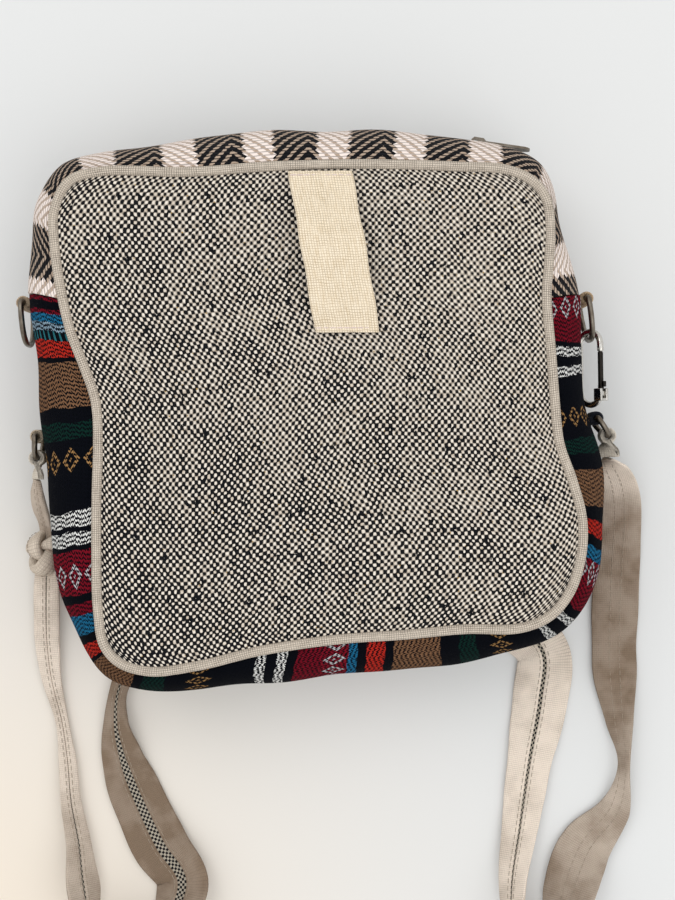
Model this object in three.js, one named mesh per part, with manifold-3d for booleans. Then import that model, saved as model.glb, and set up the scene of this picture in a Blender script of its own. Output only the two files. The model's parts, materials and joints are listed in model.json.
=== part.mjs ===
// A small square crossbody bag of woven cloth, lying on its front with the back panel up.
// Millimetres. +Z is the bag's depth, from the front panel (floor) to the back panel,
// +Y points to the zip at the bag's top and +X to the right of the back panel.
import * as THREE from 'three';
import { mergeVertices } from 'three/addons/utils/BufferGeometryUtils.js';
import Module from 'manifold-3d';

const wasm = await Module();
wasm.setup();

// Depth of the bag, measured up from the floor it lies on.
const FRONT_SEAM_Z = 9;
const ZIP_Z = 24;
const CREST_Z = 34;
const BACK_SEAM_Z = 57;
const FRONT_INSET = 7;
const FRONT_DOME = 12;
const BACK_DOME = 5;
// Share of the gusset's section that lies between the back seam and the widest line.
const BACK_SHARE = 0.6;

// Cloth, piping and the clearance that sewn pieces keep in this model.
const CLOTH = 1.4;
const PIPING_R = 1.9;
const SEAM_GAP = 0.5;

// The zip runs along the bag's top on one arc.
const ARCH_R = 410;
const ARCH_X = 4;
const ARCH_TOP_Y = 117;
const ZIP_HALF_LENGTH = 74;
const ZIP_DROP = 0.9;
const SLOT_HALF_WIDTH = 5.2;
const SLOT_REACH = 6;
const TAPE_THICK = 0.8;
const TAPE_INNER = 1.6;
const TOOTH_PITCH = 3.6;
const TOOTH_WIDTH = 1.5;
const TOOTH_THICK = 1.8;
const TOOTH_REACH = 1.3;
const TOOTH_ROOT = 0.5;
const STOP_LENGTH = 2.6;
const STOP_CLEAR = 1.5;
const SLIDER_LENGTH = 10;
const SLIDER_WIDTH = 7.2;
const SLIDER_NECK = 2.3;
const SLIDER_SHOULDER = 2.6;
const SLIDER_PLATE = 1.3;
const SLIDER_AT = 64;
const LIP_THICK = 0.9;
const WELD = 0.4;
const BAIL_BAR = 1.1;
const BAIL_OPEN = 4;
const BAIL_RISE = 1.6;
const BAIL_WIDTH = 1.8;
const PULL_LENGTH = 22;
const PULL_WIDTH = 6.4;
const PULL_THICK = 1;
const PULL_BAR_R = 0.5;
const PULL_WINDOW = 3.7;
const PULL_RIM = 1.4;
const PULL_ROOT = 2.4;

// Belt loop on the back panel.
const LOOP_WIDTH = 25.6;
const LOOP_TOP_Y = 96;
const LOOP_BOTTOM_Y = 31;
const LOOP_TOP_X = 1.6;
const LOOP_BOTTOM_X = 12.6;
const LOOP_THICK = 1.5;
const LOOP_BOW = 7;
const LOOP_LIFT = 0.65;

// D-rings, their cloth tabs and the strap ends that are sewn round them.
const WIRE_R = 1.2;
const UPPER_RING = { halfWidth: 12.5, height: 17 };
const LOWER_RING = { halfWidth: 9.5, height: 9 };
const RING_Z = 24;
const TAB_SHARE = 0.68;
const TAB_THICK = 1.3;
const TAB_TAIL = 0.5;
const RUNNING_GAP = 0.4;
const STRAP_END_WIDTH = 7;
const STRAP_END_TAIL = 5;
const STRAP_END_SLACK = 0.5;

// Strap, folded from the same hemp as the belt loop.
const STRAP_THICK = 1.6;

// Spring clip on the upper right ring.
const CLIP_WIRE_R = 1.35;
const CLIP_HALF_WIDTH = 5.4;
const CLIP_STRAIGHT = 20;
const CLIP_NOSE = 2.6;
const CLIP_TURN = 132;
const CLIP_SWING = -8;
const GATE_R = 1.15;
const HINGE_BLOCK = 5.2;
const HINGE_SLOT = 2.4;
const TONGUE_THICK = 1.7;
const PIN_R = 0.75;
const PIN_GAP = 0.1;
const HINGE_DROP = 1.2;
const HINGE_DEEP = 3.9;
const SLOT_RISE = 0.7;
const TONGUE_LENGTH = 5.4;
const TONGUE_WIDE = 2.2;
const TONGUE_BACK = 1.4;
const BAR_ROOT = 2.8;
const THUMB = { x: -1.6, y: 4.4, wide: 1.4, long: 2.4 };

// Stations round the bag, clockwise from the left ring seam: the back piping's x and y,
// then the x and y of the gusset's widest line. A null y lies on the zip's arc.
const STATIONS = [
  [-101.6, 45.2, -118.9, 48.7], [-104.8, 66, -117.6, 70], [-105, 80, -115.6, 87],
  [-99, 92, -106, 101.5], [-86.5, 96, -89, null], [-52, 95.8, -56, null],
  [-16, 98.2, -18, null], [20, 99, 22, null], [56, 98, 58, null], [77, 96.6, 78, null],
  [87, 92, 90.5, 103.2], [92.4, 84.5, 96.5, 93], [94, 72, 100, 79], [93.4, 60, 104.8, 63.4],
  [92.4, 45.2, 108.6, 48.2], [94, 26.4, 109.6, 27], [95.6, 5, 111, 6],
  [97.6, -12.8, 116.2, -13.5], [102.8, -28, 118.8, -33], [106.8, -44, 118.5, -51],
  [106, -59.6, 116.3, -66.8], [101.4, -73, 110.6, -80], [93.4, -82.4, 100.5, -90.5],
  [81.6, -87, 86, -98], [60, -87.4, 62, -103.2], [36, -89.6, 36, -106.6],
  [8, -91.6, 6, -109.3], [-22, -96, -24, -112.2], [-48, -102.2, -50, -115],
  [-66.4, -104.4, -70, -114.8], [-78.5, -101, -85.5, -109.5], [-85, -93.6, -95.5, -99],
  [-87.4, -80, -102.5, -84.5], [-88, -58, -108.8, -62], [-88, -36, -111, -40],
  [-87.4, -14, -112.8, -17.7], [-88.4, 4, -114.4, 2], [-93.4, 19, -116, 18.5],
  [-98.4, 32, -117.8, 34],
];
const LEFT_SEAM = 0;
const RIGHT_SEAM = 14;
const SEAM_STEP = 0.013;
const CORNERS = { topLeft: 3, topRight: 10, bottomRight: 21.5, bottomLeft: 30.5 };

// Soft valleys (negative) and ridges of the back panel: centre, half sizes, turn and height.
const FOLDS = [
  { x: 72, y: 20, along: 70, across: 11, turn: 95, rise: -3.4 },
  { x: 84, y: -52, along: 34, across: 12, turn: 60, rise: 2.6 },
  { x: -74, y: -8, along: 60, across: 9, turn: 98, rise: -3.2 },
  { x: -50, y: 8, along: 75, across: 13, turn: 96, rise: 1.8 },
  { x: -70, y: 78, along: 40, across: 8, turn: 8, rise: -2.6 },
  { x: 70, y: 76, along: 38, across: 8, turn: -24, rise: -2.8 },
  { x: 8, y: -70, along: 26, across: 10, turn: 70, rise: -2.6 },
  { x: 22, y: -20, along: 80, across: 16, turn: 88, rise: 1.6 },
];

const COLOURS = {
  basketCloth: 0x8d8983, stripedCloth: 0x23283a, chevronCloth: 0x4c4745, hemp: 0xc9b99d,
  linen: 0xbdb5a8, metal: 0x9b958c, brightMetal: 0xc9c8c6, zipTape: 0x1d1d20,
};

const archCentreY = ARCH_TOP_Y - ARCH_R;
const archY = (x) => archCentreY + Math.sqrt(ARCH_R ** 2 - (x - ARCH_X) ** 2);
const loopOf = (points) => new THREE.CatmullRomCurve3(points, true, 'centripetal');
const backLoop = loopOf(STATIONS.map(([x, y]) => new THREE.Vector3(x, y, 0)));
const crestLoop = loopOf(STATIONS.map(([, , x, y]) => new THREE.Vector3(x, y ?? archY(x), 0)));

// A point of a loop at a station number, moved outward by a distance in the loop's plane.
function alongLoop(loop, station, outward, z) {
  const t = (((station / STATIONS.length) % 1) + 1) % 1;
  const tangent = loop.getTangent(t);
  const point = loop.getPoint(t);
  return new THREE.Vector3(point.x - tangent.y * outward, point.y + tangent.x * outward, z);
}

// Makes a mesh of one sub-part.
function part(name, geometry, colour, roughness = 0.9, metalness = 0) {
  const material = new THREE.MeshStandardMaterial({ color: colour, roughness, metalness });
  const mesh = new THREE.Mesh(geometry, material);
  mesh.name = name;
  return mesh;
}

function geometryOf(vertices, triangles) {
  const geometry = new THREE.BufferGeometry();
  const flat = vertices.flatMap((p) => [p.x, p.y, p.z]);
  geometry.setAttribute('position', new THREE.Float32BufferAttribute(flat, 3));
  geometry.setIndex(triangles);
  let volume = 0;
  for (let i = 0; i < triangles.length; i += 3) {
    const [a, b, c] = [vertices[triangles[i]], vertices[triangles[i + 1]], vertices[triangles[i + 2]]];
    volume += a.dot(new THREE.Vector3().crossVectors(b, c));
  }
  if (volume < 0) {
    geometry.setIndex(triangles.slice().reverse());
  }
  return geometry;
}

// Rows and columns of points, each made from its two shares from 0 to 1.
function gridOf(rows, columns, pointAt) {
  return Array.from({ length: rows + 1 }, (_, i) => (
    Array.from({ length: columns + 1 }, (__, j) => pointAt(i / rows, j / columns))
  ));
}

// A closed sheet of cloth: rows of points on its outer face, and the same rows on its inner face.
function sheet(outer, inner) {
  const rows = outer.length;
  const columns = outer[0].length;
  const vertices = [...outer.flat(), ...inner.flat()];
  const at = (side, i, j) => side * rows * columns + i * columns + j;
  const triangles = [];
  const quad = (a, b, c, d) => triangles.push(a, b, c, a, c, d);
  for (let i = 0; i < rows - 1; i++) {
    for (let j = 0; j < columns - 1; j++) {
      quad(at(0, i, j), at(0, i + 1, j), at(0, i + 1, j + 1), at(0, i, j + 1));
      quad(at(1, i, j), at(1, i, j + 1), at(1, i + 1, j + 1), at(1, i + 1, j));
    }
    quad(at(0, i, 0), at(1, i, 0), at(1, i + 1, 0), at(0, i + 1, 0));
    const last = columns - 1;
    quad(at(0, i, last), at(0, i + 1, last), at(1, i + 1, last), at(1, i, last));
  }
  for (let j = 0; j < columns - 1; j++) {
    quad(at(0, 0, j), at(0, 0, j + 1), at(1, 0, j + 1), at(1, 0, j));
    quad(at(0, rows - 1, j), at(1, rows - 1, j), at(1, rows - 1, j + 1), at(0, rows - 1, j + 1));
  }
  return geometryOf(vertices, triangles);
}

// A ring of round section along a closed curve.
function closedTube(curve, radius, steps, sides) {
  const tube = new THREE.TubeGeometry(curve, steps, radius, sides, true);
  tube.deleteAttribute('normal');
  tube.deleteAttribute('uv');
  return mergeVertices(tube, 1e-4);
}

function solidOf(geometry) {
  const bare = geometry.clone();
  bare.deleteAttribute('normal');
  bare.deleteAttribute('uv');
  const merged = mergeVertices(bare, 1e-4);
  return new wasm.Manifold(new wasm.Mesh({
    numProp: 3,
    vertProperties: new Float32Array(merged.attributes.position.array),
    triVerts: new Uint32Array(merged.index.array),
  }));
}

function geometryFrom(solid) {
  const mesh = solid.getMesh();
  const geometry = new THREE.BufferGeometry();
  geometry.setAttribute('position', new THREE.Float32BufferAttribute(mesh.vertProperties, 3));
  geometry.setIndex(new THREE.BufferAttribute(mesh.triVerts, 1));
  return geometry;
}

// Gusset section at a station: quarter ellipses from the back seam to the crest to the front seam.
function gussetPoint(station, share, depth) {
  const seam = PIPING_R + SEAM_GAP;
  const back = alongLoop(backLoop, station, seam, 0);
  const crest = alongLoop(crestLoop, station, 0, 0);
  const outward = alongLoop(crestLoop, station, 1, 0).sub(crest);
  if (share <= BACK_SHARE) {
    const angle = (Math.PI / 2) * (share / BACK_SHARE);
    const point = back.lerp(crest, Math.sin(angle));
    point.z = BACK_SEAM_Z - (BACK_SEAM_Z - CREST_Z) * (1 - Math.cos(angle));
    point.addScaledVector(outward, -depth * Math.sin(angle));
    point.z -= depth * Math.cos(angle);
    return point;
  }
  const angle = (Math.PI / 2) * ((share - BACK_SHARE) / (1 - BACK_SHARE));
  const inset = (FRONT_INSET - seam) * (1 - Math.cos(angle));
  const point = crest.addScaledVector(outward, -inset - depth * Math.cos(angle));
  point.z = CREST_Z - (CREST_Z - FRONT_SEAM_Z) * Math.sin(angle) + depth * Math.sin(angle);
  return point;
}

function gusset(from, to, steps) {
  const face = (depth) => gridOf(steps, 8, (along, across) => (
    gussetPoint(THREE.MathUtils.lerp(from, to, along), across, depth)
  ));
  return sheet(face(0), face(CLOTH));
}

// A four-sided panel between the loop's corners, blended from its four edges.
function panelPlane(loop, outward, u, v) {
  const { topLeft, topRight, bottomRight, bottomLeft } = CORNERS;
  const at = (from, to, share) => alongLoop(loop, THREE.MathUtils.lerp(from, to, share), outward, 0);
  const s = (u + 1) / 2;
  const t = (v + 1) / 2;
  const top = at(topLeft, topRight, s);
  const bottom = at(bottomLeft, bottomRight, s);
  const left = at(bottomLeft, topLeft + STATIONS.length, t);
  const right = at(bottomRight, topRight, t);
  const corner = (station, share) => at(station, station, 0).multiplyScalar(share);
  return top.multiplyScalar(t).add(bottom.multiplyScalar(1 - t))
    .add(left.multiplyScalar(1 - s)).add(right.multiplyScalar(s))
    .sub(corner(bottomLeft, (1 - s) * (1 - t)))
    .sub(corner(bottomRight, s * (1 - t)))
    .sub(corner(topLeft, (1 - s) * t))
    .sub(corner(topRight, s * t));
}

function foldHeight(x, y) {
  return FOLDS.reduce((sum, fold) => {
    const turn = THREE.MathUtils.degToRad(fold.turn);
    const along = ((x - fold.x) * Math.cos(turn) + (y - fold.y) * Math.sin(turn)) / fold.along;
    const across = (-(x - fold.x) * Math.sin(turn) + (y - fold.y) * Math.cos(turn)) / fold.across;
    return sum + fold.rise * Math.exp(-along * along - across * across);
  }, 0);
}

function backPanelPoint(u, v) {
  const point = panelPlane(backLoop, -(PIPING_R + SEAM_GAP), u, v);
  const crown = (1 - Math.abs(u) ** 2.6) * (1 - Math.abs(v) ** 2.6);
  const freedom = (1 - u ** 4) * (1 - v ** 4);
  point.z = BACK_SEAM_Z + BACK_DOME * crown + foldHeight(point.x, point.y) * freedom;
  return point;
}

// Height of the back panel at a place, found by walking its two blending shares.
function backPanelHeight(x, y) {
  let u = x / 100;
  let v = y / 100;
  for (let i = 0; i < 40; i++) {
    const point = backPanelPoint(u, v);
    u += (x - point.x) / 110;
    v += (y - point.y) / 110;
  }
  return backPanelPoint(u, v).z;
}

function panelSheet(pointAt, cells, thickness) {
  const face = (drop) => gridOf(cells, cells, (v, u) => {
    const point = pointAt(2 * u - 1, 2 * v - 1);
    point.z += drop;
    return point;
  });
  return sheet(face(0), face(thickness));
}

function backPanel() {
  return part('back_panel', panelSheet(backPanelPoint, 20, -CLOTH), COLOURS.basketCloth);
}

// The front panel bulges down and rests on the flattened middle of its dome.
function frontPanel() {
  const outline = -(FRONT_INSET + PIPING_R + SEAM_GAP);
  const pointAt = (u, v) => {
    const point = panelPlane(crestLoop, outline, u, v);
    const dome = ((1 - u * u) * (1 - v * v)) ** 1.6;
    point.z = Math.max(0, FRONT_SEAM_Z - FRONT_DOME * dome);
    return point;
  };
  return part('front_panel', panelSheet(pointAt, 14, CLOTH), COLOURS.basketCloth);
}

function pipingRing(name, loop, outward, z, steps) {
  const count = 78;
  const points = Array.from({ length: count }, (_, i) => (
    alongLoop(loop, (i / count) * STATIONS.length, outward, z)
  ));
  return part(name, closedTube(loopOf(points), PIPING_R, steps, 6), COLOURS.linen);
}

// Sets an object at a distance along the zip's arc, a height off the tape and a distance across it.
const zipRadius = ARCH_R - ZIP_DROP;
function onZip(object, along, height, across) {
  const arm = new THREE.Group();
  arm.position.set(ARCH_X, archCentreY, ZIP_Z);
  arm.rotation.z = -along / ARCH_R;
  object.position.set(0, zipRadius + height, across);
  arm.add(object);
  arm.updateMatrixWorld(true);
  return arm;
}

function placed(geometry, along, across) {
  const mesh = new THREE.Mesh(geometry);
  onZip(mesh, along, 0, across);
  return geometry.clone().applyMatrix4(mesh.matrixWorld);
}

// A band that follows the zip's arc between two distances across it, as high above the arc as below.
function zipBand(halfLength, fromAcross, toAcross, halfHeight) {
  const row = (height) => gridOf(24, 1, (along, across) => {
    const mark = new THREE.Object3D();
    const where = THREE.MathUtils.lerp(-halfLength, halfLength, along);
    onZip(mark, where, height, THREE.MathUtils.lerp(fromAcross, toAcross, across));
    return mark.getWorldPosition(new THREE.Vector3());
  });
  return solidOf(sheet(row(halfHeight), row(-halfHeight)));
}

// Top gusset with the slot that the zip is sewn into.
function topGusset() {
  const cloth = solidOf(gusset(LEFT_SEAM + SEAM_STEP, RIGHT_SEAM - SEAM_STEP, 44));
  const slot = zipBand(ZIP_HALF_LENGTH, SLOT_HALF_WIDTH, -SLOT_HALF_WIDTH, SLOT_REACH);
  return part('top_gusset', geometryFrom(cloth.subtract(slot)), COLOURS.chevronCloth);
}

// One half of the zip: a tape in the slot with its row of teeth.
function zipHalf(name, side) {
  const half = ZIP_HALF_LENGTH - RUNNING_GAP;
  const outerEdge = SLOT_HALF_WIDTH - SEAM_GAP;
  let solid = zipBand(half, side * TAPE_INNER, side * outerEdge, TAPE_THICK / 2);
  const reach = TAPE_INNER + TOOTH_REACH + TOOTH_ROOT;
  const tooth = new THREE.BoxGeometry(TOOTH_WIDTH, TOOTH_THICK, reach);
  const span = 2 * (half - STOP_LENGTH - STOP_CLEAR);
  const count = Math.floor((span - TOOTH_PITCH / 2) / TOOTH_PITCH);
  for (let i = 0; i < count; i++) {
    const along = -span / 2 + TOOTH_WIDTH / 2 + i * TOOTH_PITCH + (side > 0 ? 0 : TOOTH_PITCH / 2);
    const centre = side * ((TAPE_INNER + TOOTH_ROOT - TOOTH_REACH) / 2);
    solid = solid.add(solidOf(placed(tooth, along, centre)));
  }
  return part(name, geometryFrom(solid), COLOURS.zipTape);
}

function zipStop(name, side) {
  const width = 2 * (TAPE_INNER - SEAM_GAP);
  const block = new THREE.BoxGeometry(STOP_LENGTH, TOOTH_THICK, width);
  const mesh = part(name, block, COLOURS.metal, 0.4, 1);
  return onZip(mesh, side * (ZIP_HALF_LENGTH - RUNNING_GAP - STOP_LENGTH / 2), 0, 0);
}

const plateFloor = TOOTH_THICK / 2 + RUNNING_GAP;
const bailFloor = plateFloor + SLIDER_PLATE;

// Slider: a waisted plate with two lips over the tapes, and a bail that holds the pull.
function slider() {
  const outline = new THREE.Shape();
  const end = SLIDER_LENGTH / 2;
  const widest = SLIDER_LENGTH / 4;
  const half = SLIDER_WIDTH / 2;
  outline.moveTo(-end, -SLIDER_NECK);
  outline.lineTo(-end, SLIDER_NECK);
  outline.quadraticCurveTo(-widest, half, widest, half);
  outline.lineTo(end, SLIDER_SHOULDER);
  outline.lineTo(end, -SLIDER_SHOULDER);
  outline.lineTo(widest, -half);
  outline.quadraticCurveTo(-widest, -half, -end, -SLIDER_NECK);
  const stamp = { depth: SLIDER_PLATE, bevelEnabled: false, curveSegments: 5 };
  const plate = new THREE.ExtrudeGeometry(outline, stamp);
  plate.rotateX(-Math.PI / 2);
  plate.translate(0, plateFloor, 0);
  const lipDrop = plateFloor - TAPE_THICK / 2 - SEAM_GAP;
  const lipInner = TAPE_INNER + 2 * SEAM_GAP;
  const lip = new THREE.BoxGeometry(SLIDER_LENGTH / 2, lipDrop + WELD, LIP_THICK);
  const lipY = plateFloor + (WELD - lipDrop) / 2;
  const bail = new THREE.Shape();
  const foot = BAIL_OPEN / 2 + BAIL_BAR;
  bail.moveTo(-foot, -WELD);
  bail.lineTo(-foot, BAIL_RISE);
  bail.lineTo(-BAIL_OPEN / 2, BAIL_RISE + BAIL_BAR);
  bail.lineTo(BAIL_OPEN / 2, BAIL_RISE + BAIL_BAR);
  bail.lineTo(foot, BAIL_RISE);
  bail.lineTo(foot, -WELD);
  bail.lineTo(BAIL_OPEN / 2, -WELD);
  bail.lineTo(BAIL_OPEN / 2, BAIL_RISE);
  bail.lineTo(-BAIL_OPEN / 2, BAIL_RISE);
  bail.lineTo(-BAIL_OPEN / 2, -WELD);
  bail.closePath();
  const arch = new THREE.ExtrudeGeometry(bail, { depth: BAIL_WIDTH, bevelEnabled: false });
  arch.translate(0, bailFloor, -BAIL_WIDTH / 2);
  const lipAt = lipInner + LIP_THICK / 2;
  const lips = [-1, 1].map((side) => solidOf(lip.clone().translate(0, lipY, side * lipAt)));
  const solid = lips.reduce((sum, one) => sum.add(one), solidOf(plate)).add(solidOf(arch));
  return part('zip_slider', geometryFrom(solid), COLOURS.metal, 0.4, 1);
}

// Pull: a flat tag whose end bar turns under the slider's bail.
const barHeight = bailFloor + BAIL_RISE / 2;
function pull() {
  const tag = new THREE.Shape();
  const half = PULL_WIDTH / 2;
  const root = PULL_WINDOW + PULL_RIM;
  tag.moveTo(-PULL_BAR_R, -PULL_ROOT);
  tag.lineTo(root, -PULL_ROOT);
  tag.lineTo(PULL_LENGTH - half, -half);
  tag.absarc(PULL_LENGTH - half, 0, half, -Math.PI / 2, Math.PI / 2, false);
  tag.lineTo(root, PULL_ROOT);
  tag.lineTo(-PULL_BAR_R, PULL_ROOT);
  tag.closePath();
  const hole = new THREE.Path();
  const holeHalf = BAIL_WIDTH / 2 + RUNNING_GAP;
  hole.moveTo(PULL_BAR_R, -holeHalf);
  hole.lineTo(PULL_BAR_R, holeHalf);
  hole.lineTo(PULL_WINDOW, holeHalf);
  hole.lineTo(PULL_WINDOW, -holeHalf);
  hole.closePath();
  tag.holes.push(hole);
  const stamp = { depth: PULL_THICK, bevelEnabled: false, curveSegments: 6 };
  const geometry = new THREE.ExtrudeGeometry(tag, stamp);
  geometry.translate(0, 0, -PULL_THICK / 2);
  geometry.rotateX(-Math.PI / 2);
  return part('zip_pull', geometry, COLOURS.metal, 0.4, 1);
}

// Belt loop: a straight strip sewn at both ends, bowed clear of the panel between them.
function beltLoop() {
  const face = (height) => gridOf(18, 4, (along, across) => {
    const y = THREE.MathUtils.lerp(LOOP_TOP_Y, LOOP_BOTTOM_Y, along);
    const x = THREE.MathUtils.lerp(LOOP_TOP_X, LOOP_BOTTOM_X, along) + LOOP_WIDTH * (across - 0.5);
    const bow = LOOP_BOW * Math.sin(Math.PI * along) ** 1.5;
    return new THREE.Vector3(x, y, backPanelHeight(x, y) + LOOP_LIFT + bow + height);
  });
  return part('belt_loop', sheet(face(LOOP_THICK), face(0)), COLOURS.hemp);
}

// A cloth strip turned round a wire: a tube about the local Z axis with a flat tail towards -Y.
function wrapGeometry(width, tail, slack = 0) {
  const bore = WIRE_R + RUNNING_GAP + slack;
  const outer = bore + TAB_THICK;
  const half = TAB_THICK;
  const start = Math.acos(half / outer);
  const outline = new THREE.Shape();
  outline.moveTo(-half, -outer - tail);
  outline.lineTo(half, -outer - tail);
  outline.absarc(0, 0, outer, -start, Math.PI + start, false);
  outline.closePath();
  const eye = new THREE.Path();
  eye.absarc(0, 0, bore, 0, 2 * Math.PI, true);
  outline.holes.push(eye);
  const roll = { depth: width, bevelEnabled: false, curveSegments: 7 };
  const geometry = new THREE.ExtrudeGeometry(outline, roll);
  geometry.translate(0, 0, -width / 2);
  return geometry;
}
const wrapReach = WIRE_R + RUNNING_GAP + TAB_THICK;

// D-ring in its own frame: the straight bar lies on the Z axis and the bow hangs towards -Y.
// Each point is a share of the ring's height and of its half width.
const RING_SHAPE = [
  [0, 0.4], [0, 0.78], [0.02, 0.94], [0.15, 1], [0.45, 0.97], [0.8, 0.74], [0.97, 0.4], [1, 0],
];
function ringCurve({ halfWidth, height }) {
  const half = RING_SHAPE.map(([drop, side]) => new THREE.Vector3(0, -drop * height, side * halfWidth));
  const mirrored = half.slice(0, -1).reverse().map((p) => new THREE.Vector3(p.x, p.y, -p.z));
  return loopOf([new THREE.Vector3(0, 0, 0), ...half, ...mirrored]);
}

// A tab and its ring. The tab's tail points at the gusset and the ring swings about its bar.
function hungRing(name, { station, side, swing, size }) {
  const outward = alongLoop(crestLoop, station, 1, 0).sub(alongLoop(crestLoop, station, 0, 0));
  const seat = new THREE.Group();
  seat.position.copy(alongLoop(crestLoop, station, wrapReach + TAB_TAIL + SEAM_GAP, RING_Z));
  const tab = part(`${name}_tab`, wrapGeometry(2 * TAB_SHARE * size.halfWidth, TAB_TAIL), COLOURS.hemp);
  tab.rotation.z = Math.atan2(-outward.y, -outward.x) + Math.PI / 2;
  const ring = part(`${name}_ring`, closedTube(ringCurve(size), WIRE_R, 26, 6), COLOURS.metal, 0.35, 1);
  const arm = new THREE.Group();
  arm.rotation.z = THREE.MathUtils.degToRad(side * swing);
  arm.add(ring);
  seat.add(tab, arm);
  return { seat, arm };
}

// A strap end on a lower ring, turned back so that it hangs straight however far the ring swings out.
function strapEnd(name, arm, turn) {
  const end = part(name, wrapGeometry(STRAP_END_WIDTH, STRAP_END_TAIL, STRAP_END_SLACK), COLOURS.hemp);
  end.position.y = -LOWER_RING.height;
  end.rotation.z = THREE.MathUtils.degToRad(turn);
  arm.add(end);
}

// Strap: a flat strip along hand-chosen points of x, y, z, roll in degrees and width.
function strip(name, points, steps) {
  const openCurve = (list) => new THREE.CatmullRomCurve3(list, false, 'centripetal');
  const route = openCurve(points.map(([x, y, z]) => new THREE.Vector3(x, y, z)));
  const shape = openCurve(points.map(([, , , roll, width]) => new THREE.Vector3(roll, width, 0)));
  const face = (offset) => Array.from({ length: steps + 1 }, (_, i) => {
    const t = i / steps;
    const centre = route.getPoint(t);
    const tangent = route.getTangent(t);
    const level = new THREE.Vector3().crossVectors(tangent, new THREE.Vector3(0, 0, 1)).normalize();
    const upward = new THREE.Vector3().crossVectors(level, tangent);
    const { x: roll, y: width } = shape.getPoint(t);
    const angle = THREE.MathUtils.degToRad(roll);
    const across = level.clone().multiplyScalar(Math.cos(angle)).addScaledVector(upward, Math.sin(angle));
    const normal = new THREE.Vector3().crossVectors(across, tangent);
    return [-0.5, 0.5].map((edge) => (
      centre.clone().addScaledVector(across, edge * width).addScaledVector(normal, offset)
    ));
  });
  return part(name, sheet(face(STRAP_THICK / 2), face(-STRAP_THICK / 2)), COLOURS.hemp);
}

// Route of the strap on the floor, from the left ring's end to the knot, and on to the right ring.
const STRAP_TO_KNOT = [
  [-118.2, -28.2, 24, -88, 7], [-118.2, -34, 23.2, -82, 9], [-117.6, -42, 18, -66, 11],
  [-117, -48.5, 11.6, -52, 11],
];
const KNOT = { x: -117, y: -59.5, z: 9.2, width: 14.6, length: 20, height: 15 };
const STRAP_FROM_KNOT = [
  [-117.2, -70, 8.6, -30, 12], [-117.8, -84, 6.4, -22, 16], [-117.8, -98.6, 4.6, -16, 19],
  [-116, -116, 3.2, -8, 18],
  [-111.8, -134, 2.4, 6, 14], [-109.2, -151, 3.4, 14, 15], [-107.4, -168.6, 5, 16, 21],
  [-103.9, -186, 6.6, 24, 24], [-101.3, -203.5, 10.2, 44, 25], [-97, -221, 13.2, 84, 25],
  [-88, -233, 13.4, 90, 25], [-76, -233, 13.4, 88, 25], [-66, -222, 12, 66, 25],
  [-58.9, -203.5, 5.2, 18, 25], [-69, -188, 2.4, 4, 25], [-82.1, -159.8, 1.8, 0, 25],
  [-86.1, -146.7, 3, 7, 23], [-87.8, -133.6, 5.2, 23, 19], [-86.4, -119, 3.4, 10, 19],
  [-76, -102, 1.4, 0, 22], [-52, -94, 1.2, 0, 24], [4, -91, 1.2, 0, 24],
  [64, -89, 1.2, 0, 24], [86, -92, 1.3, 0, 24], [98.4, -104, 1.4, 0, 24],
  [97.4, -124, 1.6, -1, 25], [92.6, -151, 2.3, -4, 25], [88.4, -179, 3, -8, 24],
  [84, -206, 9.6, -42, 24], [85, -222, 13.2, -84, 24], [94, -232, 13.4, -92, 24],
  [103, -224, 12.6, -106, 24], [108.6, -207, 8.8, -146, 24], [116.6, -189, 3, -172, 24],
  [129.6, -172, 3.4, -168, 21], [133, -152, 6.8, -136, 14], [131.4, -134, 4.6, -156, 16],
  [129.6, -108, 2, -180, 20], [130.6, -66, 2.4, -178, 20], [131.4, -44, 5.5, -166, 19],
  [128.4, -31, 15, -140, 14], [123.9, -22.4, 23.2, -100, 8.6], [123, -19, 24, -92, 7],
];

// The overhand knot's outer shape: a lump with two turns of the strap round it.
function knot() {
  const lump = new THREE.SphereGeometry(0.5, 12, 9);
  lump.scale(KNOT.width, KNOT.length, KNOT.height);
  const turn = new THREE.TorusGeometry(KNOT.width * 0.37, 2.6, 6, 14);
  turn.scale(1, 1, 1.6);
  const first = turn.clone().rotateX(Math.PI / 2 - 0.45).rotateY(0.3);
  const second = turn.clone().rotateX(Math.PI / 2 + 0.5).rotateZ(0.5);
  const solid = solidOf(lump).add(solidOf(first)).add(solidOf(second));
  const mesh = part('strap_knot', geometryFrom(solid), COLOURS.hemp);
  mesh.position.set(KNOT.x, KNOT.y, KNOT.z);
  return mesh;
}

// Spring clip in its own frame: the ring's wire passes through the origin along Z.
const clipTop = WIRE_R + 2 * RUNNING_GAP + CLIP_WIRE_R;
const clipArcY = clipTop - CLIP_HALF_WIDTH;
const hingeY = clipArcY - CLIP_STRAIGHT - HINGE_DROP;
const hingeBore = () => new THREE.CylinderGeometry(PIN_R + PIN_GAP, PIN_R + PIN_GAP, HINGE_BLOCK * 2, 12)
  .rotateX(Math.PI / 2);

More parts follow.
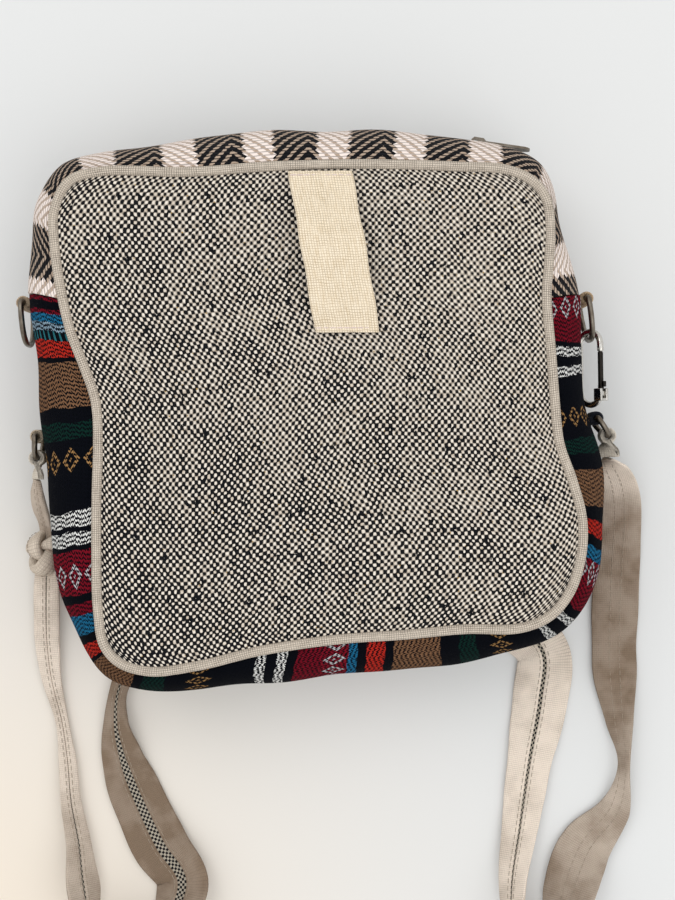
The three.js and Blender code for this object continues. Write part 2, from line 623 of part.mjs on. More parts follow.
function clipFrame() {
  const a = CLIP_HALF_WIDTH;
  const path = new THREE.CurvePath();
  const arc = (centreY, from, to) => Array.from({ length: 7 }, (_, i) => {
    const angle = THREE.MathUtils.lerp(from, to, i / 6);
    return new THREE.Vector3(a * Math.cos(angle), centreY + a * Math.sin(angle), 0);
  });
  const points = [
    new THREE.Vector3(-a, clipArcY - CLIP_NOSE, 0), ...arc(clipArcY, Math.PI, 0),
    ...arc(clipArcY - CLIP_STRAIGHT, 0, -Math.PI),
  ];
  points.slice(1).forEach((p, i) => path.add(new THREE.LineCurve3(points[i], p)));
  const section = new THREE.Shape();
  section.absarc(0, 0, CLIP_WIRE_R, 0, 2 * Math.PI, false);
  const bend = { steps: 30, extrudePath: path, curveSegments: 4, bevelEnabled: false };
  const wire = new THREE.ExtrudeGeometry(section, bend);
  const block = new THREE.BoxGeometry(HINGE_DEEP, HINGE_BLOCK, HINGE_BLOCK).translate(-a, hingeY, 0);
  const slot = new THREE.BoxGeometry(HINGE_BLOCK, HINGE_BLOCK, HINGE_SLOT);
  slot.translate(-a, hingeY + SLOT_RISE, 0);
  const pinHole = hingeBore().translate(-a, hingeY, 0);
  const solid = solidOf(wire).add(solidOf(block)).subtract(solidOf(slot)).subtract(solidOf(pinHole));
  return part('clip_frame', geometryFrom(solid), COLOURS.brightMetal, 0.3, 1);
}

function clipGate() {
  const length = clipArcY - CLIP_NOSE - RUNNING_GAP - hingeY;
  const bar = new THREE.CylinderGeometry(GATE_R, GATE_R, length - BAR_ROOT, 8);
  bar.translate(0, (length + BAR_ROOT) / 2, 0);
  const tongue = new THREE.BoxGeometry(TONGUE_WIDE, TONGUE_LENGTH, TONGUE_THICK);
  tongue.translate(0, TONGUE_LENGTH / 2 - TONGUE_BACK, 0);
  const thumb = new THREE.BoxGeometry(THUMB.wide, THUMB.long, TONGUE_THICK).translate(THUMB.x, THUMB.y, 0);
  const solid = solidOf(bar).add(solidOf(tongue)).add(solidOf(thumb)).subtract(solidOf(hingeBore()));
  return part('clip_gate', geometryFrom(solid), COLOURS.brightMetal, 0.3, 1);
}

function clip() {
  const group = new THREE.Group();
  const gate = clipGate();
  gate.position.set(-CLIP_HALF_WIDTH, hingeY, 0);
  const rivet = new THREE.CylinderGeometry(PIN_R, PIN_R, HINGE_BLOCK - 2 * PIN_GAP, 12);
  const pin = part('clip_pin', rivet, COLOURS.brightMetal, 0.3, 1);
  pin.rotation.x = Math.PI / 2;
  pin.position.set(-CLIP_HALF_WIDTH, hingeY, 0);
  group.add(clipFrame(), gate, pin);
  group.position.y = -UPPER_RING.height;
  group.rotation.order = 'ZYX';
  group.rotation.y = THREE.MathUtils.degToRad(CLIP_TURN);
  group.rotation.z = THREE.MathUtils.degToRad(CLIP_SWING);
  return group;
}

const sideCloth = gusset(RIGHT_SEAM + SEAM_STEP, STATIONS.length - SEAM_STEP, 58);
const bag = new THREE.Group();
bag.add(
  backPanel(), frontPanel(), topGusset(),
  part('side_gusset', sideCloth, COLOURS.stripedCloth),
  pipingRing('back_piping', backLoop, 0, BACK_SEAM_Z, 90),
  pipingRing('front_piping', crestLoop, -FRONT_INSET, FRONT_SEAM_Z, 64),
  beltLoop(),
  zipHalf('zip_tape_back', 1), zipHalf('zip_tape_front', -1),
  zipStop('zip_stop_left', -1), zipStop('zip_stop_right', 1),
);

const sliderGroup = new THREE.Group();
const pullMesh = pull();
pullMesh.position.y = barHeight;
sliderGroup.add(slider(), pullMesh);
bag.add(onZip(sliderGroup, SLIDER_AT, 0, 0));

const upperLeft = hungRing('upper_left', { station: 38.83, side: -1, swing: -3, size: UPPER_RING });
const lowerLeft = hungRing('lower_left', { station: 35.4, side: -1, swing: 4, size: LOWER_RING });
const upperRight = hungRing('upper_right', { station: 14.05, side: 1, swing: 9, size: UPPER_RING });
const lowerRight = hungRing('lower_right', { station: 16.48, side: 1, swing: 36, size: LOWER_RING });
strapEnd('strap_end_left', lowerLeft.arm, 4);
strapEnd('strap_end_right', lowerRight.arm, -34);
upperRight.arm.add(clip());
bag.add(upperLeft.seat, lowerLeft.seat, upperRight.seat, lowerRight.seat);

bag.add(strip('strap_to_knot', STRAP_TO_KNOT, 6), knot(), strip('strap_long', STRAP_FROM_KNOT, 80));

export default bag;
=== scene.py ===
"""Looks of a small square crossbody bag of woven cloth, lying on its front with its back panel up.

Points are worked out in millimetres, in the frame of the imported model, and become metres in build_mesh.
"""

import json
import logging
import math
from dataclasses import dataclass, field
from enum import Enum
from typing import Callable, Sequence

import bpy
import numpy as np
from mathutils import Matrix, Vector

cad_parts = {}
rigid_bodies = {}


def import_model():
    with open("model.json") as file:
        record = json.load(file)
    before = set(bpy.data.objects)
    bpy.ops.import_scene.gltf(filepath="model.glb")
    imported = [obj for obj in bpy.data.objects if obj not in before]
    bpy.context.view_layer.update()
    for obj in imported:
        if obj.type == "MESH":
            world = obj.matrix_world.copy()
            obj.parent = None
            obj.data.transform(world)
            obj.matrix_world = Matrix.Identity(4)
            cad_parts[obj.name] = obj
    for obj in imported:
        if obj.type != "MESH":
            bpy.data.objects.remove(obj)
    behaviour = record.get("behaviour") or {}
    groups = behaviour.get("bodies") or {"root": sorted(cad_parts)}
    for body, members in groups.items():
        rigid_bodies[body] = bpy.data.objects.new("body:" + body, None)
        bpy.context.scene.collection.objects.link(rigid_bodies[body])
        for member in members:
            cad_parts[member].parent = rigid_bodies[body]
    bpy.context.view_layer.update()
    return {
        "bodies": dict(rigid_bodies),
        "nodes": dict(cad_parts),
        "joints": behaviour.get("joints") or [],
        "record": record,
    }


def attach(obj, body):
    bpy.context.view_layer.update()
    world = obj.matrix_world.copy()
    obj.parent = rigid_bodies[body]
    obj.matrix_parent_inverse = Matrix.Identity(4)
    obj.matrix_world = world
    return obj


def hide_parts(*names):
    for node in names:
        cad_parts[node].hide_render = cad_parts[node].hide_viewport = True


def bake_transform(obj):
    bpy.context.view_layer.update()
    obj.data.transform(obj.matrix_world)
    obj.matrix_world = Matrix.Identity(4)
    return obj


log = logging.getLogger("crossbody_bag")

MM = 0.001
# The faint nap of cotton, linen and hemp, and that of a brushed twill.
SOFT = {"Sheen_Weight": 0.03, "Sheen_Roughness": 0.6}
SOFTER = {"Sheen_Weight": 0.03, "Sheen_Roughness": 0.7}
Socket = bpy.types.NodeSocket
Node = bpy.types.Node
Material = bpy.types.Material
Piece = bpy.types.Object
# Points in millimetres, four point indices to a face, and a place on the cloth for each point.
Shape = tuple[np.ndarray, np.ndarray, np.ndarray]


def linear(code: str) -> tuple[float, float, float, float]:
    """Turns an sRGB hex colour to the linear colour that a shader socket holds.

    Args:
        code: six hex digits.

    Returns:
        Linear red, green, blue and an alpha of 1.
    """
    shares = [int(code[i : i + 2], 16) / 255 for i in (0, 2, 4)]
    red, green, blue = (s / 12.92 if s <= 0.04045 else ((s + 0.055) / 1.055) ** 2.4 for s in shares)
    return red, green, blue, 1.0


class Recipe:
    """A material's node tree, filled one node at a time."""

    def __init__(self, name: str) -> None:
        """Starts an empty material of that name."""
        self.material = bpy.data.materials.new(name)
        self.material.use_nodes = True
        self.tree = self.material.node_tree
        self.tree.nodes.clear()

    def add(
        self, kind: str, *inputs: object, named: dict[str, object] | None = None, **settings: object
    ) -> Node:
        """Adds a shader node with its settings and links.

        Args:
            kind: the node's type without the word ShaderNode.
            inputs: values, sockets or nodes for the first inputs in order, with None to leave one alone.
            named: the same for inputs given by name.
            settings: the node's own properties.

        Returns:
            The new node.
        """
        node = self.tree.nodes.new("ShaderNode" + kind)
        for key, value in settings.items():
            setattr(node, key, value)
        for key, value in [*enumerate(inputs), *(named or {}).items()]:
            if isinstance(value, Node):
                value = value.outputs[0]
            if isinstance(value, Socket):
                self.tree.links.new(value, node.inputs[key])
            elif value is not None:
                node.inputs[key].default_value = value
        return node

    def finish(
        self, colour: object, roughness: object, height: object = None, lift: float = 0.3, **fixed: object
    ) -> Material:
        """Closes the tree with one principled shader.

        Args:
            colour: the base colour, a socket, node or linear colour.
            roughness: a number, socket or node.
            height: what the bump reads, in millimetres once it is times lift.
            lift: the bump's distance in millimetres.
            fixed: other sockets by name, with spaces written as underscores.

        Returns:
            The finished material.
        """
        named = {key.replace("_", " "): value for key, value in fixed.items()}
        named |= {"Base Color": colour, "Roughness": roughness}
        if height is not None:
            bump = self.add("Bump", named={"Height": height, "Distance": lift * MM, "Strength": 1.0})
            named["Normal"] = bump
        shader = self.add("BsdfPrincipled", named=named)
        self.add("OutputMaterial", shader)
        return self.material

    def cloth_grid(self) -> tuple[Socket, Socket, Node]:
        """Reads the mesh's own map, in millimetres.

        Returns:
            The sockets along and across the cloth, and the node with both.
        """
        chart = self.add("UVMap", uv_map="Cloth")
        split = self.add("SeparateXYZ", chart)
        return split.outputs[0], split.outputs[1], chart

    def over_under(self, along: object, across: object, cell_along: float, cell_across: float) -> Node:
        """Plain weave of round threads: above 0 where one set of threads is on top, below 0 where the other is.

        Args:
            along: the coordinate along the cloth in millimetres.
            across: the coordinate across it.
            cell_along: width of one thread along the cloth.
            cell_across: width of one thread across it.

        Returns:
            A node whose value runs from -1 to 1.
        """
        first, second = self.wave(along, cell_along), self.wave(across, cell_across)
        return self.add("Math", first, second, operation="MULTIPLY")

    def wave(self, value: object, half: float) -> Node:
        """A sine wave that crosses 0 at every whole number of halves."""
        angle = self.add("Math", value, math.pi / half, operation="MULTIPLY")
        return self.add("Math", angle, operation="SINE")

    def cloud(
        self, chart: object, size: float, detail: float = 2.0, stretch: tuple[float, float] = (1, 1)
    ) -> Node:
        """Soft noise over the cloth.

        Args:
            chart: the map node.
            size: the size of its patches in millimetres.
            detail: the noise's octaves.
            stretch: how many times longer the patches are along and across.

        Returns:
            The noise node, whose first output is its value.
        """
        scale = (1 / size / stretch[0], 1 / size / stretch[1], 1.0)
        scaled = self.add("VectorMath", chart, scale, operation="MULTIPLY")
        return self.add("TexNoise", scaled, named={"Scale": 1.0, "Detail": detail, "Roughness": 0.55})

    def step(self, value: object, low: float, high: float, to_low: float = 0.0, to_high: float = 1.0) -> Node:
        """Runs a value smoothly from one level to another.

        Args:
            value: what is read.
            low: where it starts to rise.
            high: where it has risen.
            to_low: the level before.
            to_high: the level after.

        Returns:
            The map range node.
        """
        return self.add("MapRange", value, low, high, to_low, to_high, interpolation_type="SMOOTHSTEP")

    def mixed(self, share: object, first: object, second: object, blend: str = "MIX") -> Socket:
        """Mixes two colours.

        Args:
            share: how much of the second.
            first: a colour, node or socket.
            second: the same.
            blend: the mix's kind.

        Returns:
            The mixed colour's socket.
        """
        node = self.add("Mix", data_type="RGBA", blend_type=blend)
        for index, value in ((0, share), (6, first), (7, second)):
            if isinstance(value, Node):
                value = value.outputs[0]
            if isinstance(value, Socket):
                self.tree.links.new(value, node.inputs[index])
            else:
                node.inputs[index].default_value = value
        return node.outputs[2]


@dataclass(frozen=True)
class BasketCloth:
    """Cotton basket weave of ivory and black yarns, hand-loomed: matt puffs with painted shade round their rims,
    black squares and slubs.
    """

    name: str = "cotton_basket_weave"
    ivory: str = "EFE6D9"
    shade: str = "CDBFAE"
    black: str = "101114"
    fleck: str = "A98B52"
    cell_across: float = 1.34
    cell_along: float = 1.56
    thicker: float = 0.0011
    sway: float = 0.36
    streak: float = 0.13
    drift: float = 0.13
    # The colour of the painted shade at the rim of each ivory puff.
    puff_edge_shade: str = "857C71"
    ivory_from: float = -0.14
    ivory_to: float = 0.08
    bump: float = 0.26

    def build(self) -> Material:
        """Makes the material."""
        r = Recipe(self.name)
        x, y, chart = r.cloth_grid()
        sway = r.step(r.cloud(chart, 9.0, 2.0), 0.25, 0.75, -self.sway, self.sway)
        swing = r.step(r.cloud(chart, 5.0, 2.0, (1.4, 1.0)), 0.25, 0.75, -self.sway, self.sway)
        across, along = r.add("Math", x, sway, operation="ADD"), r.add("Math", y, swing, operation="ADD")
        lobes = r.over_under(across, along, self.cell_across, self.cell_along)
        drift = r.step(r.cloud(chart, 1.6, 1.0), 0.3, 0.7, -self.drift, self.drift)
        slub = r.cloud(chart, 2.4, 1.0, (1.0, 1.8))
        thin = r.step(slub, 0.62, 0.72, 0.0, 0.9)
        level = r.add("Math", r.add("Math", lobes, drift, operation="ADD"), thin, operation="SUBTRACT")
        far = r.add("Math", r.add("Math", x, y, operation="ADD"), 190.0, operation="SUBTRACT")
        level = r.add("Math", far, self.thicker, level, operation="MULTIPLY_ADD")
        streak = r.step(r.cloud(chart, 2.6, 1.0, (1.0, 9.0)), 0.3, 0.7, -self.streak, self.streak)
        patch = r.step(r.cloud(chart, 22.0, 2.0), 0.3, 0.7, -self.streak, self.streak)
        level = r.add("Math", r.add("Math", streak, patch, operation="ADD"), level, operation="ADD")
        ivory_shows = r.step(level, self.ivory_from, self.ivory_to)
        tone = r.mixed(r.step(r.cloud(chart, 3.0), 0.4, 0.75), linear(self.ivory), linear(self.shade))
        # Painted shade: each ivory puff is darkened from its middle to its rim, as light falls off its dome.
        crown = r.step(lobes, 0.0, 0.7, 0.85, 0.0)
        rounded = r.mixed(crown, tone, linear(self.puff_edge_shade))
        specks = r.step(r.cloud(chart, 1.1, 0.0), 0.79, 0.8)
        tinted = r.mixed(specks, rounded, linear(self.fleck))
        colour = r.mixed(ivory_shows, linear(self.black), tinted)
        fibre = r.add("Math", r.cloud(chart, 0.3, 1.0), 0.25, operation="MULTIPLY")
        height = r.add("Math", r.add("Math", lobes, operation="ABSOLUTE"), fibre, operation="ADD")
        return r.finish(colour, 0.95, height, self.bump, Specular_IOR_Level=0.1, **SOFT)


class Figure(Enum):
    """What is woven into a stripe, as the level that its ramp holds."""

    PLAIN = 0.0
    SPECKLE = 0.3
    DOTS = 0.6
    DIAMOND = 0.9


class Band(Enum):
    """A stripe of the gusset's cloth: ground colour, figure colour and figure."""

    NAVY = ("080A11", "080A11", Figure.PLAIN)
    MAROON = ("750F20", "750F20", Figure.PLAIN)
    ROSE = ("7C1222", "BFC4C8", Figure.DIAMOND)
    ORANGE = ("B82B20", "B82B20", Figure.PLAIN)
    BLUE = ("1E6A92", "1E6A92", Figure.PLAIN)
    MIST = ("0D1620", "8FA8BA", Figure.SPECKLE)
    TEAL = ("0A0D15", "2A6B74", Figure.DOTS)
    GREEN = ("0B2A24", "0B2A24", Figure.PLAIN)
    TAN = ("7E5C43", "7E5C43", Figure.PLAIN)
    LEAF = ("080A11", "A67F50", Figure.DIAMOND)
    WHITE = ("0A0C14", "EDEDEA", Figure.SPECKLE)


# Where each stripe of the side gusset ends, in millimetres from the right ring seam.
BANDS: tuple[tuple[float, Band], ...] = (
    (9.5, Band.ROSE), (18.7, Band.MAROON), (20.8, Band.NAVY), (24.0, Band.WHITE), (27.8, Band.NAVY),
    (32.0, Band.WHITE), (46.6, Band.NAVY), (55.5, Band.LEAF), (60.5, Band.NAVY), (68.5, Band.GREEN),
    (76.2, Band.NAVY), (92.4, Band.TAN), (97.9, Band.NAVY), (103.5, Band.ORANGE), (107.5, Band.NAVY),
    (113.4, Band.BLUE), (124.5, Band.ROSE), (134.0, Band.MAROON), (138.0, Band.NAVY), (141.8, Band.WHITE),
    (146.2, Band.NAVY), (150.4, Band.WHITE), (165.2, Band.NAVY), (177.8, Band.LEAF), (180.0, Band.NAVY),
    (188.0, Band.GREEN), (196.0, Band.NAVY), (216.6, Band.TAN), (220.7, Band.NAVY), (227.1, Band.ORANGE),
    (231.3, Band.NAVY), (236.5, Band.BLUE), (248.0, Band.ROSE), (257.0, Band.MAROON), (262.0, Band.NAVY),
    (265.8, Band.WHITE), (269.6, Band.NAVY), (273.6, Band.WHITE), (291.0, Band.NAVY), (303.6, Band.LEAF),
    (311.5, Band.NAVY), (320.0, Band.GREEN), (324.0, Band.NAVY), (343.4, Band.TAN), (345.9, Band.NAVY),
    (352.9, Band.ORANGE), (356.7, Band.NAVY), (365.8, Band.BLUE), (369.6, Band.MAROON), (373.4, Band.NAVY),
    (391.3, Band.ROSE), (392.9, Band.NAVY), (398.9, Band.WHITE), (401.3, Band.NAVY), (407.2, Band.WHITE),
    (423.4, Band.NAVY), (435.7, Band.LEAF), (436.7, Band.NAVY), (445.5, Band.GREEN), (451.1, Band.NAVY),
    (470.7, Band.TAN), (472.6, Band.NAVY), (479.9, Band.ORANGE), (483.5, Band.TEAL), (487.9, Band.MIST),
    (491.8, Band.BLUE), (494.8, Band.MAROON), (497.3, Band.NAVY), (505.0, Band.MAROON),
)
BAND_SPAN = 505.0


@dataclass(frozen=True)
class StripedCloth:
    """Wool-like acrylic blanket cloth on a dark warp: matt colours that show as dashes over navy."""

    name: str = "striped_blanket_cloth"
    warp: str = "06080E"
    dash: float = 0.95
    rib: float = 1.35
    tooth: float = 1.9
    diamond: float = 9.4
    lozenge: float = 5.8
    ring: float = 0.7
    speckle_cell: tuple[float, float] = (0.95, 1.1)
    dot_cell: tuple[float, float] = (2.0, 1.6)
    wander: float = 0.9
    bump: float = 0.3
    ramp_steps: int = 24

    def ramps(self, r: Recipe, place: object) -> tuple[Socket, Socket, Socket, Socket]:
        """Builds the constant ramps of the stripes, each of which may hold 32 steps.

        Args:
            r: the material being made.
            place: the share of the stripes' whole length.

        Returns:
            Sockets of the ground colour, figure colour, figure level and stripe's middle.
        """
        starts = [0.0, *(end for end, _ in BANDS[:-1])]
        rows = [(start, end, band.value) for start, (end, band) in zip(starts, BANDS)]
        ground: Socket | None = None
        for first in range(0, len(rows), self.ramp_steps):
            group = rows[first : first + self.ramp_steps]
            made = [r.add("ValToRGB", place) for _ in range(3)]
            for ramp in made:
                ramp.color_ramp.interpolation = "CONSTANT"
            for index, (start, end, (ground_code, figure_code, kind)) in enumerate(group):
                paints = (
                    linear(ground_code),
                    (*linear(figure_code)[:3], kind.value),
                    ((start + end) / 2 / BAND_SPAN, 0.0, 0.0, 1.0),
                )
                for ramp, paint in zip(made, paints):
                    steps = ramp.color_ramp.elements
                    if index == 0:
                        steps.remove(steps[-1])
                        step = steps[0]
                        step.position = start / BAND_SPAN
                    else:
                        step = steps.new(start / BAND_SPAN)
                    step.color = paint
            if ground is None:
                ground, middle = made[0].outputs[0], made[2].outputs[0]
                figure, level = made[1].outputs[0], made[1].outputs[1]
                continue
            past = r.add("Math", place, group[0][0] / BAND_SPAN, operation="GREATER_THAN")
            ground = r.mixed(past, ground, made[0])
            figure = r.mixed(past, figure, made[1])
            middle = r.mixed(past, middle, made[2])
            level = r.add("MapRange", past, 0.0, 1.0, level, made[1].outputs[1]).outputs[0]
        return ground, figure, level, middle

    def build(self) -> Material:
        """Makes the material."""
        r = Recipe(self.name)
        u, v, chart = r.cloth_grid()
        wander = r.step(r.cloud(chart, 14.0), 0.2, 0.8, -self.wander, self.wander)
        place = r.add("Math", r.add("Math", u, wander, operation="ADD"), BAND_SPAN, operation="DIVIDE")
        ground, figure, level, middle = self.ramps(r, place)
        slanted = r.add("Math", u, r.add("Math", v, self.tooth, operation="PINGPONG"), operation="ADD")
        lobes = r.over_under(slanted, v, self.dash, self.rib)
        grain = r.cloud(chart, 0.8, 1.0)
        uneven = r.step(grain, 0.3, 0.7, -0.35, 0.35)
        weft_shows = r.step(r.add("Math", lobes, uneven, operation="ADD"), -0.3, 0.2)
        centre = r.add("SeparateColor", middle)
        off = r.add("Math", place, centre.outputs[0], operation="SUBTRACT")
        off = r.add("Math", off, operation="ABSOLUTE")
        out = r.add("Math", off, BAND_SPAN / self.lozenge, operation="MULTIPLY")
        cell = r.add("Math", v, self.diamond / 2, operation="PINGPONG")
        up = r.add("Math", cell, 2 / self.diamond, operation="MULTIPLY")
        both = r.add("Math", out, up, operation="ADD")
        far = r.add("Math", r.add("Math", both, self.ring, operation="SUBTRACT"), operation="ABSOLUTE")
        outline, dot = r.step(far, 0.13, 0.2, 1.0, 0.0), r.step(both, 0.12, 0.2, 1.0, 0.0)
        line = r.add("Math", outline, dot, operation="MAXIMUM")
        diamond = r.add("Math", line, r.step(lobes, -0.15, 0.2), operation="MULTIPLY")
        knots = r.add("Math", r.over_under(slanted, v, *self.speckle_cell), uneven, operation="ADD")
        speckle = r.step(knots, 0.05, 0.25)
        dots = r.step(r.over_under(r.add("Math", out, 1.0, operation="ADD"), v, *self.dot_cell), 0.35, 0.6)
        is_speckle = r.add("Math", level, Figure.SPECKLE.value, 0.1, operation="COMPARE")
        is_dots = r.add("Math", level, Figure.DOTS.value, 0.1, operation="COMPARE")
        is_diamond = r.add("Math", level, Figure.DIAMOND.value, 0.1, operation="COMPARE")
        share = r.add("Math", is_speckle, speckle, operation="MULTIPLY")
        share = r.add("Math", is_dots, dots, share, operation="MULTIPLY_ADD")
        share = r.add("Math", is_diamond, diamond, share, operation="MULTIPLY_ADD")
        woven = r.mixed(weft_shows, linear(self.warp), ground)
        colour = r.mixed(share, woven, figure)
        height = r.add("Math", r.add("Math", lobes, operation="ABSOLUTE"), grain, operation="ADD")
        return r.finish(colour, 1.0, height, self.bump, Specular_IOR_Level=0.05)


@dataclass(frozen=True)
class ChevronCloth:
    """Chunky cotton twill with blocks of black and blush yarn: dashed chevrons, thick soft ribs."""

    name: str = "cotton_chevron_twill"
    black: str = "0C0D12"
    blush: str = "F4E7E0"
    dash: str = "B39E8C"
    groove: str = "54443E"
    rib: float = 4.7
    thread: float = 2.0
    fold: float = 16.0
    slope: float = 0.8
    bump: float = 0.35

    # Block edges in millimetres from the left ring seam: blush first, then black and blush in turn.
    edges: tuple[float, ...] = (
        7.0, 29.5, 44.0, 66.0, 80.7, 99.1, 113.5, 133.3, 145.7, 165.0, 177.9, 196.7, 209.8, 227.3, 238.9,
        258.8, 274.0, 291.3, 306.3,
    )
    span: float = 320.0

    def build(self) -> Material:
        """Makes the material."""
        r = Recipe(self.name)
        u, v, chart = r.cloth_grid()
        stepped = r.add("Math", u, r.add("Math", v, self.thread, operation="PINGPONG"), operation="ADD")
        place = r.add("Math", stepped, self.span, operation="DIVIDE")
        blocks = r.add("ValToRGB", place)
        blocks.color_ramp.interpolation = "CONSTANT"
        steps = blocks.color_ramp.elements
        steps.remove(steps[-1])
        steps[0].color = (1, 1, 1, 1)
        for index, edge in enumerate(self.edges):
            steps.new(edge / self.span).color = (1, 1, 1, 1) if index % 2 else (0, 0, 0, 1)
        fold = r.add("Math", u, self.fold, operation="PINGPONG")
        run = r.add("Math", v, self.slope, fold, operation="MULTIPLY_ADD")
        ribs = r.wave(run, self.rib / 2)
        rows = r.wave(v, self.thread)
        threads = r.add("Math", rows, operation="ABSOLUTE")
        uneven = r.step(r.cloud(chart, 1.5, 1.0), 0.3, 0.7, -0.35, 0.35)
        crest = r.add("Math", ribs, uneven, operation="ADD")
        on_crest, on_thread = r.step(crest, 0.15, 0.45), r.step(threads, 0.35, 0.55)
        dash_shows = r.add("Math", on_crest, on_thread, operation="MULTIPLY")
        ground = r.mixed(blocks, linear(self.black), linear(self.blush))
        woven = r.mixed(dash_shows, ground, linear(self.dash))
        between_rows = r.step(threads, 0.0, 0.45, 0.85, 0.0)
        colour = r.mixed(between_rows, woven, linear(self.groove), "MULTIPLY")
        height = r.add("Math", ribs, 0.4, threads, operation="MULTIPLY_ADD")
        return r.finish(colour, 0.95, height, self.bump, Specular_IOR_Level=0.1, **SOFTER)


@dataclass(frozen=True)
class PlainLinen:
    """Undyed linen in a plain open weave: matt threads with fine dark gaps between them and a few slubs."""

    name: str
    thread: str
    gap: str
    pitch: float = 1.0
    open_share: float = 0.5
    shade: str = "A39A8C"

    def build(self) -> Material:
        """Makes the material."""
        r = Recipe(self.name)
        u, v, chart = r.cloth_grid()
        bent = r.add("Math", u, r.step(r.cloud(chart, 5.0), 0.2, 0.8, -0.3, 0.3), operation="ADD")
        along = r.wave(bent, self.pitch)
        across = r.wave(v, self.pitch)
        warp = r.add("Math", along, operation="ABSOLUTE")
        weft = r.add("Math", across, operation="ABSOLUTE")
        off_warp, off_weft = (r.step(thread, 0.0, 0.62, 1.0, 0.0) for thread in (warp, weft))
        hole = r.add("Math", off_warp, off_weft, operation="MAXIMUM")
        patch = r.step(r.cloud(chart, 7.0, 3.0), 0.25, 0.75, 0.55, 1.0)
        gap_shows = r.add("Math", hole, patch, operation="MULTIPLY")
        gap_shows = r.add("Math", gap_shows, self.open_share, operation="MULTIPLY")
        slub = r.cloud(chart, 0.9, 2.0, (5.0, 1.0))
        tone = r.mixed(r.step(slub, 0.35, 0.75, 0.0, 0.55), linear(self.thread), linear(self.shade))
        colour = r.mixed(gap_shows, tone, linear(self.gap))
        height = r.add("Math", r.add("Math", warp, weft, operation="MINIMUM"), slub, operation="ADD")
        return r.finish(colour, 0.95, height, 0.16, Specular_IOR_Level=0.12, **SOFT)


@dataclass(frozen=True)
class StrapCloth:
    """Hemp strap cloth with a checked black and ivory core: ribbed, matt, browner along some lengths, partly its
    own tone and partly painted shade.
    """

    name: str = "hemp_strap_cloth"
    pale: str = "EFE1D2"
    taupe: str = "84715F"
    gap: str = "6B5D50"
    core_black: str = "121316"
    core_ivory: str = "B0A798"
    pitch: float = 0.85
    check: float = 1.1
    bump: float = 0.16

    def build(self) -> Material:
        """Makes the material."""
        r = Recipe(self.name)
        u, v, chart = r.cloth_grid()
        ribs = r.wave(u, self.pitch)
        ends = r.wave(v, self.pitch * 0.9)
        rib = r.add("Math", ribs, operation="ABSOLUTE")
        end = r.add("Math", ends, operation="ABSOLUTE")
        off_rib, off_end = r.step(rib, 0.0, 0.45, 1.0, 0.0), r.step(end, 0.0, 0.35, 0.7, 0.0)
        groove = r.add("Math", off_rib, off_end, operation="MAXIMUM")
        patch = r.step(r.cloud(chart, 9.0, 3.0), 0.3, 0.75, 0.25, 0.75)
        shows = r.add("Math", groove, patch, operation="MULTIPLY")
        # The strap's own darker tone and painted shade together: a mark on each point mixes the pale cloth towards
        # taupe.
        tone_and_painted_shade = r.add("Attribute", attribute_name="Brown", attribute_type="GEOMETRY").outputs[2]
        stain = r.step(r.cloud(chart, 18.0, 3.0), 0.35, 0.8, -0.12, 0.2)
        brown = r.add("Math", tone_and_painted_shade, stain, operation="ADD", use_clamp=True)
        ground = r.mixed(brown, linear(self.pale), linear(self.taupe))
        cloth = r.mixed(shows, ground, linear(self.gap))
        checks = r.step(r.over_under(u, v, self.check, self.check), -0.12, 0.12)
        core = r.mixed(checks, linear(self.core_black), linear(self.core_ivory))
        on_core = r.add("Attribute", attribute_name="Core", attribute_type="GEOMETRY").outputs[2]
        colour = r.mixed(r.step(on_core, 0.3, 0.6), cloth, core)
        low = r.add("Math", rib, end, operation="MINIMUM")
        height = r.add("Math", low, r.cloud(chart, 0.9), operation="ADD")
        return r.finish(colour, 0.95, height, self.bump, Specular_IOR_Level=0.12, **SOFT)


@dataclass(frozen=True)
class NickelPlate:
    """Nickel-plated steel wire: grey metal, brownish film where it is dull, fine rubbed scratches."""

    name: str
    bright: str
    film: str
    roughness: float
    film_share: float

    def build(self) -> Material:
        """Makes the material."""
        r = Recipe(self.name)
        place = r.add("TexCoord").outputs["Object"]
        patches = r.add("TexNoise", place, named={"Scale": 220.0, "Detail": 4.0, "Roughness": 0.6})
        share = r.step(patches, 0.35, 0.7, self.film_share * 0.4, self.film_share)
        colour = r.mixed(share, linear(self.bright), linear(self.film))
        rough = r.step(patches, 0.3, 0.7, self.roughness * 0.75, self.roughness * 1.25)
        drawn_out = r.add("Mapping", place, named={"Scale": (6.0, 0.5, 6.0)})
        scratch = r.add("TexNoise", drawn_out, named={"Scale": 900.0})
        return r.finish(colour, rough, scratch, 0.012, Metallic=1.0)


@dataclass(frozen=True)
class ZipTape:
    """Polyester zip tape with moulded plastic teeth, both black: ribbed matt tape, satin teeth."""

    name: str = "zip_tape_and_teeth"
    centre_z: float = 24.0
    tooth_reach: float = 1.7
    rib: float = 0.7

    def build(self) -> Material:
        """Makes the material."""
        r = Recipe(self.name)
        place = r.add("TexCoord").outputs["Object"]
        axes = r.add("SeparateXYZ", place)
        off = r.add("Math", axes.outputs[2], self.centre_z * MM, operation="SUBTRACT")
        off = r.add("Math", off, operation="ABSOLUTE")
        tape = r.step(off, self.tooth_reach * MM * 0.97, self.tooth_reach * MM * 1.03)
        colour = r.mixed(tape, linear("2B2B2E"), linear("121214"))
        rough = r.step(tape, 0.0, 1.0, 0.38, 0.9)
        rib = r.wave(axes.outputs[0], self.rib * MM / 2)
        height = r.add("Math", rib, tape, operation="MULTIPLY")
        return r.finish(colour, rough, height, 0.05)


